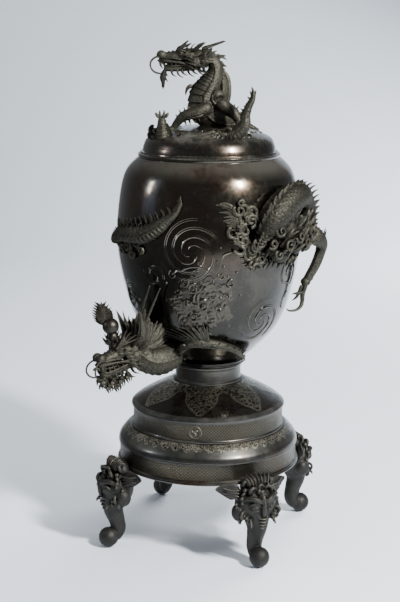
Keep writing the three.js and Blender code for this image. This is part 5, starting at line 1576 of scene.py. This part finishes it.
class VASE_OT_vase_dragon(bpy.types.Operator):
    """Models the dragon that coils about the vase, with its spray and its jewel."""
    bl_idname = "vase.vase_dragon"
    bl_label = "Dragon on the vase"

    def execute(self, context):
        bronze = finish("dragon_bronze")
        snout = ornament_turn().to_3x3() @ Vector((-0.74, -0.65, -0.12))
        place = head_place(by_wall(-48.2, 59, 73), snout, 1.1)
        head_pieces("vase_dragon", place, False, (64, 70, (-14, 112), 6.6), (12, 98, 0.45))
        for node, parts in (
            ("vase_dragon_neck", dragon_neck()),
            ("vase_dragon_coil", dragon_coil()),
            ("vase_dragon_hind_leg", hind_leg()),
            ("vase_dragon_foreleg", vase_foreleg()),
            ("vase_dragon_tail", vase_tail()),
            ("vase_spray", spray_curls()),
        ):
            # The coil gets the darker copy of the dragons' bronze, as painted shade
            skin = finish("coil_bronze") if node == "vase_dragon_coil" else bronze
            take_place(join(node + "_chased", parts, skin), node)
        jewel = join("flaming_jewel_chased", jewel_flame(place), finish("jewel_bronze"))
        take_place(jewel, "flaming_jewel")
        return {"FINISHED"}


class VASE_OT_lid_dragon(bpy.types.Operator):
    """Models the dragon that rears on the lid, with its tail, the clawed foot and the wave."""
    bl_idname = "vase.lid_dragon"
    bl_label = "Dragon on the lid"

    def execute(self, context):
        bronze = finish("dragon_bronze")
        place = on_lid()
        head = place @ head_place((-20, 0, 134), (-1, -0.06, 0.02), 1)
        head_pieces("finial_dragon", head, True, (20, 25, (40, 118), 4.6), (70, 44, 0))
        for node, parts in (
            ("finial_dragon_body", finial_body(place)),
            ("finial_dragon_foreleg_left", finial_left_foreleg(place)),
            ("finial_dragon_foreleg_right", finial_right_foreleg(place)),
            ("finial_dragon_tail", lid_tail(place)),
            ("lid_raised_claw", upright_claw(place)),
            ("lid_wave_crest", breaking_wave(place)),
        ):
            take_place(join(node + "_chased", parts, bronze), node)
        return {"FINISHED"}


class VASE_OT_legs(bpy.types.Operator):
    """Models one elephant-mask leg and copies it to the other three corners."""
    bl_idname = "vase.legs"
    bl_label = "Legs"

    def execute(self, context):
        model = weld("leg_mask", mask_leg(), finish("mask_bronze"), 1.15)
        for corner, angle in LEG_ANGLES.items():
            pick(model)
            bpy.ops.object.duplicate()
            leg = context.object
            leg.name = f"leg_{corner}_mask"
            leg.data.transform(Matrix.Rotation(math.radians(angle), 4, "Z"))
            take_place(leg, "leg_" + corner)
        bpy.data.objects.remove(model)
        return {"FINISHED"}


class VASE_OT_carried(bpy.types.Operator):
    """Gives the CAD nodes that are shown as they are their finish."""
    bl_idname = "vase.carried"
    bl_label = "Carried pieces"

    def execute(self, context):
        finishes = {
            "bronze_vase": "polished_bronze",
            "bronze_stand": "stand_bronze",
            "bronze_dragon": "dragon_bronze",
            "copper_liner": "tarnished_copper",
        }
        for node, piece in frame["nodes"].items():
            material = finish(finishes[slots[node]])
            if not piece.data.materials:
                piece.data.materials.append(material)
            for index in range(len(piece.material_slots)):
                piece.material_slots[index].material = material
        return {"FINISHED"}


# Stage

def soft_light(name, turn, rise, distance, aim, shape, size, power, colour=(1, 1, 1)):
    """A soft light at a turn and rise in degrees from the camera's side of the vase."""
    angle = math.radians(turn) + bpy.context.scene.vase_view.side
    level = distance * math.cos(math.radians(rise))
    up = distance * math.sin(math.radians(rise))
    aim = Vector(aim)
    place = aim + Vector((level * math.sin(angle), -level * math.cos(angle), up))
    start_clean()
    bpy.ops.object.light_add(type="AREA", location=place)
    light = bpy.context.object
    light.name = name
    light.data.shape = shape
    light.data.size, light.data.size_y = size
    light.data.energy = power
    light.data.color = colour
    light.rotation_euler = (aim - place).to_track_quat("-Z", "Y").to_euler()
    light.visible_camera = False
    return light


def lay_paper(side):
    """Pale paper that lies under the vase and sweeps up behind it, turned to the camera's side."""
    front, bend, radius, top, width = -2.4, 3.2, 1.6, 3.6, 5
    outline = [(-1, 0), (bend, 0)]
    for i in range(1, 11):
        angle = math.pi / 2 * i / 10
        outline.append((bend + radius * math.sin(angle), radius - radius * math.cos(angle)))
    outline.append((bend + radius, top))
    start_clean()
    bpy.ops.mesh.primitive_plane_add(size=1)
    sweep = bpy.context.object
    sweep.name = "studio_sweep"
    bpy.ops.object.mode_set(mode="EDIT")
    bpy.ops.mesh.select_all(action="SELECT")
    bpy.ops.mesh.merge(type="CENTER")
    previous = Vector((0, front, 0))
    bpy.ops.transform.translate(value=previous)
    for away, height in outline:
        step = Vector((0, away, height)) - previous
        bpy.ops.mesh.extrude_region_move(TRANSFORM_OT_translate={"value": step})
        previous = Vector((0, away, height))
    bpy.ops.mesh.select_all(action="SELECT")
    bpy.ops.transform.translate(value=(-0.6, 0, 0))
    bpy.ops.mesh.extrude_region_move(TRANSFORM_OT_translate={"value": (width, 0, 0)})
    bpy.ops.mesh.select_all(action="SELECT")
    bpy.ops.mesh.normals_make_consistent(inside=False)
    bpy.ops.object.mode_set(mode="OBJECT")
    sweep.data.transform(Matrix.Rotation(side + math.radians(9), 4, "Z"))
    material, _, shader = new_material("pale_studio_paper")
    shader.inputs["Base Color"].default_value = (0.86, 0.925, 1.0, 1)
    shader.inputs["Roughness"].default_value = 0.9
    return settle(sweep, material, 60)


def dim_world():
    """The faint light of the room around the vase."""
    world = bpy.data.worlds.new("dim_studio")
    world.use_nodes = True
    world.node_tree.nodes["Background"].inputs["Color"].default_value = (0.9, 0.95, 1, 1)
    world.node_tree.nodes["Background"].inputs["Strength"].default_value = 0.22
    return world


def photo_camera(view):
    """The camera, at the place and with the lens that the photograph was taken from."""
    bpy.ops.object.camera_add()
    camera = bpy.context.object
    camera.name = "photo_camera"
    camera.data.sensor_fit = "VERTICAL"
    camera.data.sensor_height = 24
    camera.data.lens = view.lens
    place = Matrix.Translation((
        view.distance * math.sin(view.side), -view.distance * math.cos(view.side), view.height))
    heading = Matrix.Rotation(view.side + view.aim, 4, "Z")
    tilt = Matrix.Rotation(math.pi / 2 - view.pitch, 4, "X")
    roll = Matrix.Rotation(view.roll, 4, "Z")
    camera.matrix_world = place @ heading @ tilt @ roll
    return camera


class VASE_OT_stage(bpy.types.Operator):
    """Sets the pale paper sweep, the soft lights and the photograph's camera."""
    bl_idname = "vase.stage"
    bl_label = "Stage"

    def execute(self, context):
        view = context.scene.vase_view
        sweep = lay_paper(view.side)
        context.scene.world = dim_world()
        shoulder = (0, 0, 0.73)
        foot = (0, 0, 0.3)
        behind = (1.1, 1.5, 0)
        soft_light("key_softbox", 43, 29, 2.5, shoulder, "ELLIPSE", (0.26, 0.55), 180)
        soft_light("left_strip", -82, 16, 2.5, shoulder, "RECTANGLE", (0.1, 0.6), 12)
        soft_light("left_window", -80, 15, 3.0, shoulder, "RECTANGLE", (1.1, 1.6), 4.5, (0.35, 0.55, 1))
        overhead = soft_light("overhead", 180, 85, 2.2, foot, "ELLIPSE", (2.0, 2.0), 15)
        glow = soft_light("backdrop_light", 160, 46, 3.2, behind, "RECTANGLE", (3.0, 1.4), 245)
        overhead.visible_glossy = False
        glow.visible_glossy = False
        context.scene.camera = photo_camera(view)
        return {"FINISHED"}


class VASE_PT_panel(bpy.types.Panel):
    """Lists the vase's settings and pieces in the sidebar."""
    bl_label = "Bronze Vase"
    bl_idname = "VASE_PT_panel"
    bl_space_type = "VIEW_3D"
    bl_region_type = "UI"
    bl_category = "Bronze Vase"

    def draw(self, context):
        for settings in (context.scene.vase_sizes, context.scene.vase_colours, context.scene.vase_view):
            for key in settings.bl_rna.properties.keys():
                if key not in ("rna_type", "name"):
                    self.layout.prop(settings, key)
        for operator in OPERATORS:
            self.layout.operator(operator.bl_idname)


SETTINGS = {"vase_sizes": VaseSizes, "vase_colours": VaseColours, "vase_view": VaseView}
OPERATORS = (VASE_OT_stage, VASE_OT_carried, VASE_OT_vessel, VASE_OT_relief, VASE_OT_tiers, VASE_OT_lid,
             VASE_OT_vase_dragon, VASE_OT_lid_dragon, VASE_OT_legs)


def register():
    for name, group in SETTINGS.items():
        bpy.utils.register_class(group)
        setattr(bpy.types.Scene, name, bpy.props.PointerProperty(type=group))
    for operator in OPERATORS:
        bpy.utils.register_class(operator)
    bpy.utils.register_class(VASE_PT_panel)


def unregister():
    bpy.utils.unregister_class(VASE_PT_panel)
    for operator in reversed(OPERATORS):
        bpy.utils.unregister_class(operator)
    for name, group in SETTINGS.items():
        delattr(bpy.types.Scene, name)
        bpy.utils.unregister_class(group)


def main():
    register()
    bpy.ops.vase.stage()
    bpy.ops.vase.carried()
    bpy.ops.vase.vessel()
    bpy.ops.vase.relief()
    bpy.ops.vase.tiers()
    bpy.ops.vase.lid()
    bpy.ops.vase.vase_dragon()
    bpy.ops.vase.lid_dragon()
    bpy.ops.vase.legs()


if __name__ == "__main__":
    main()
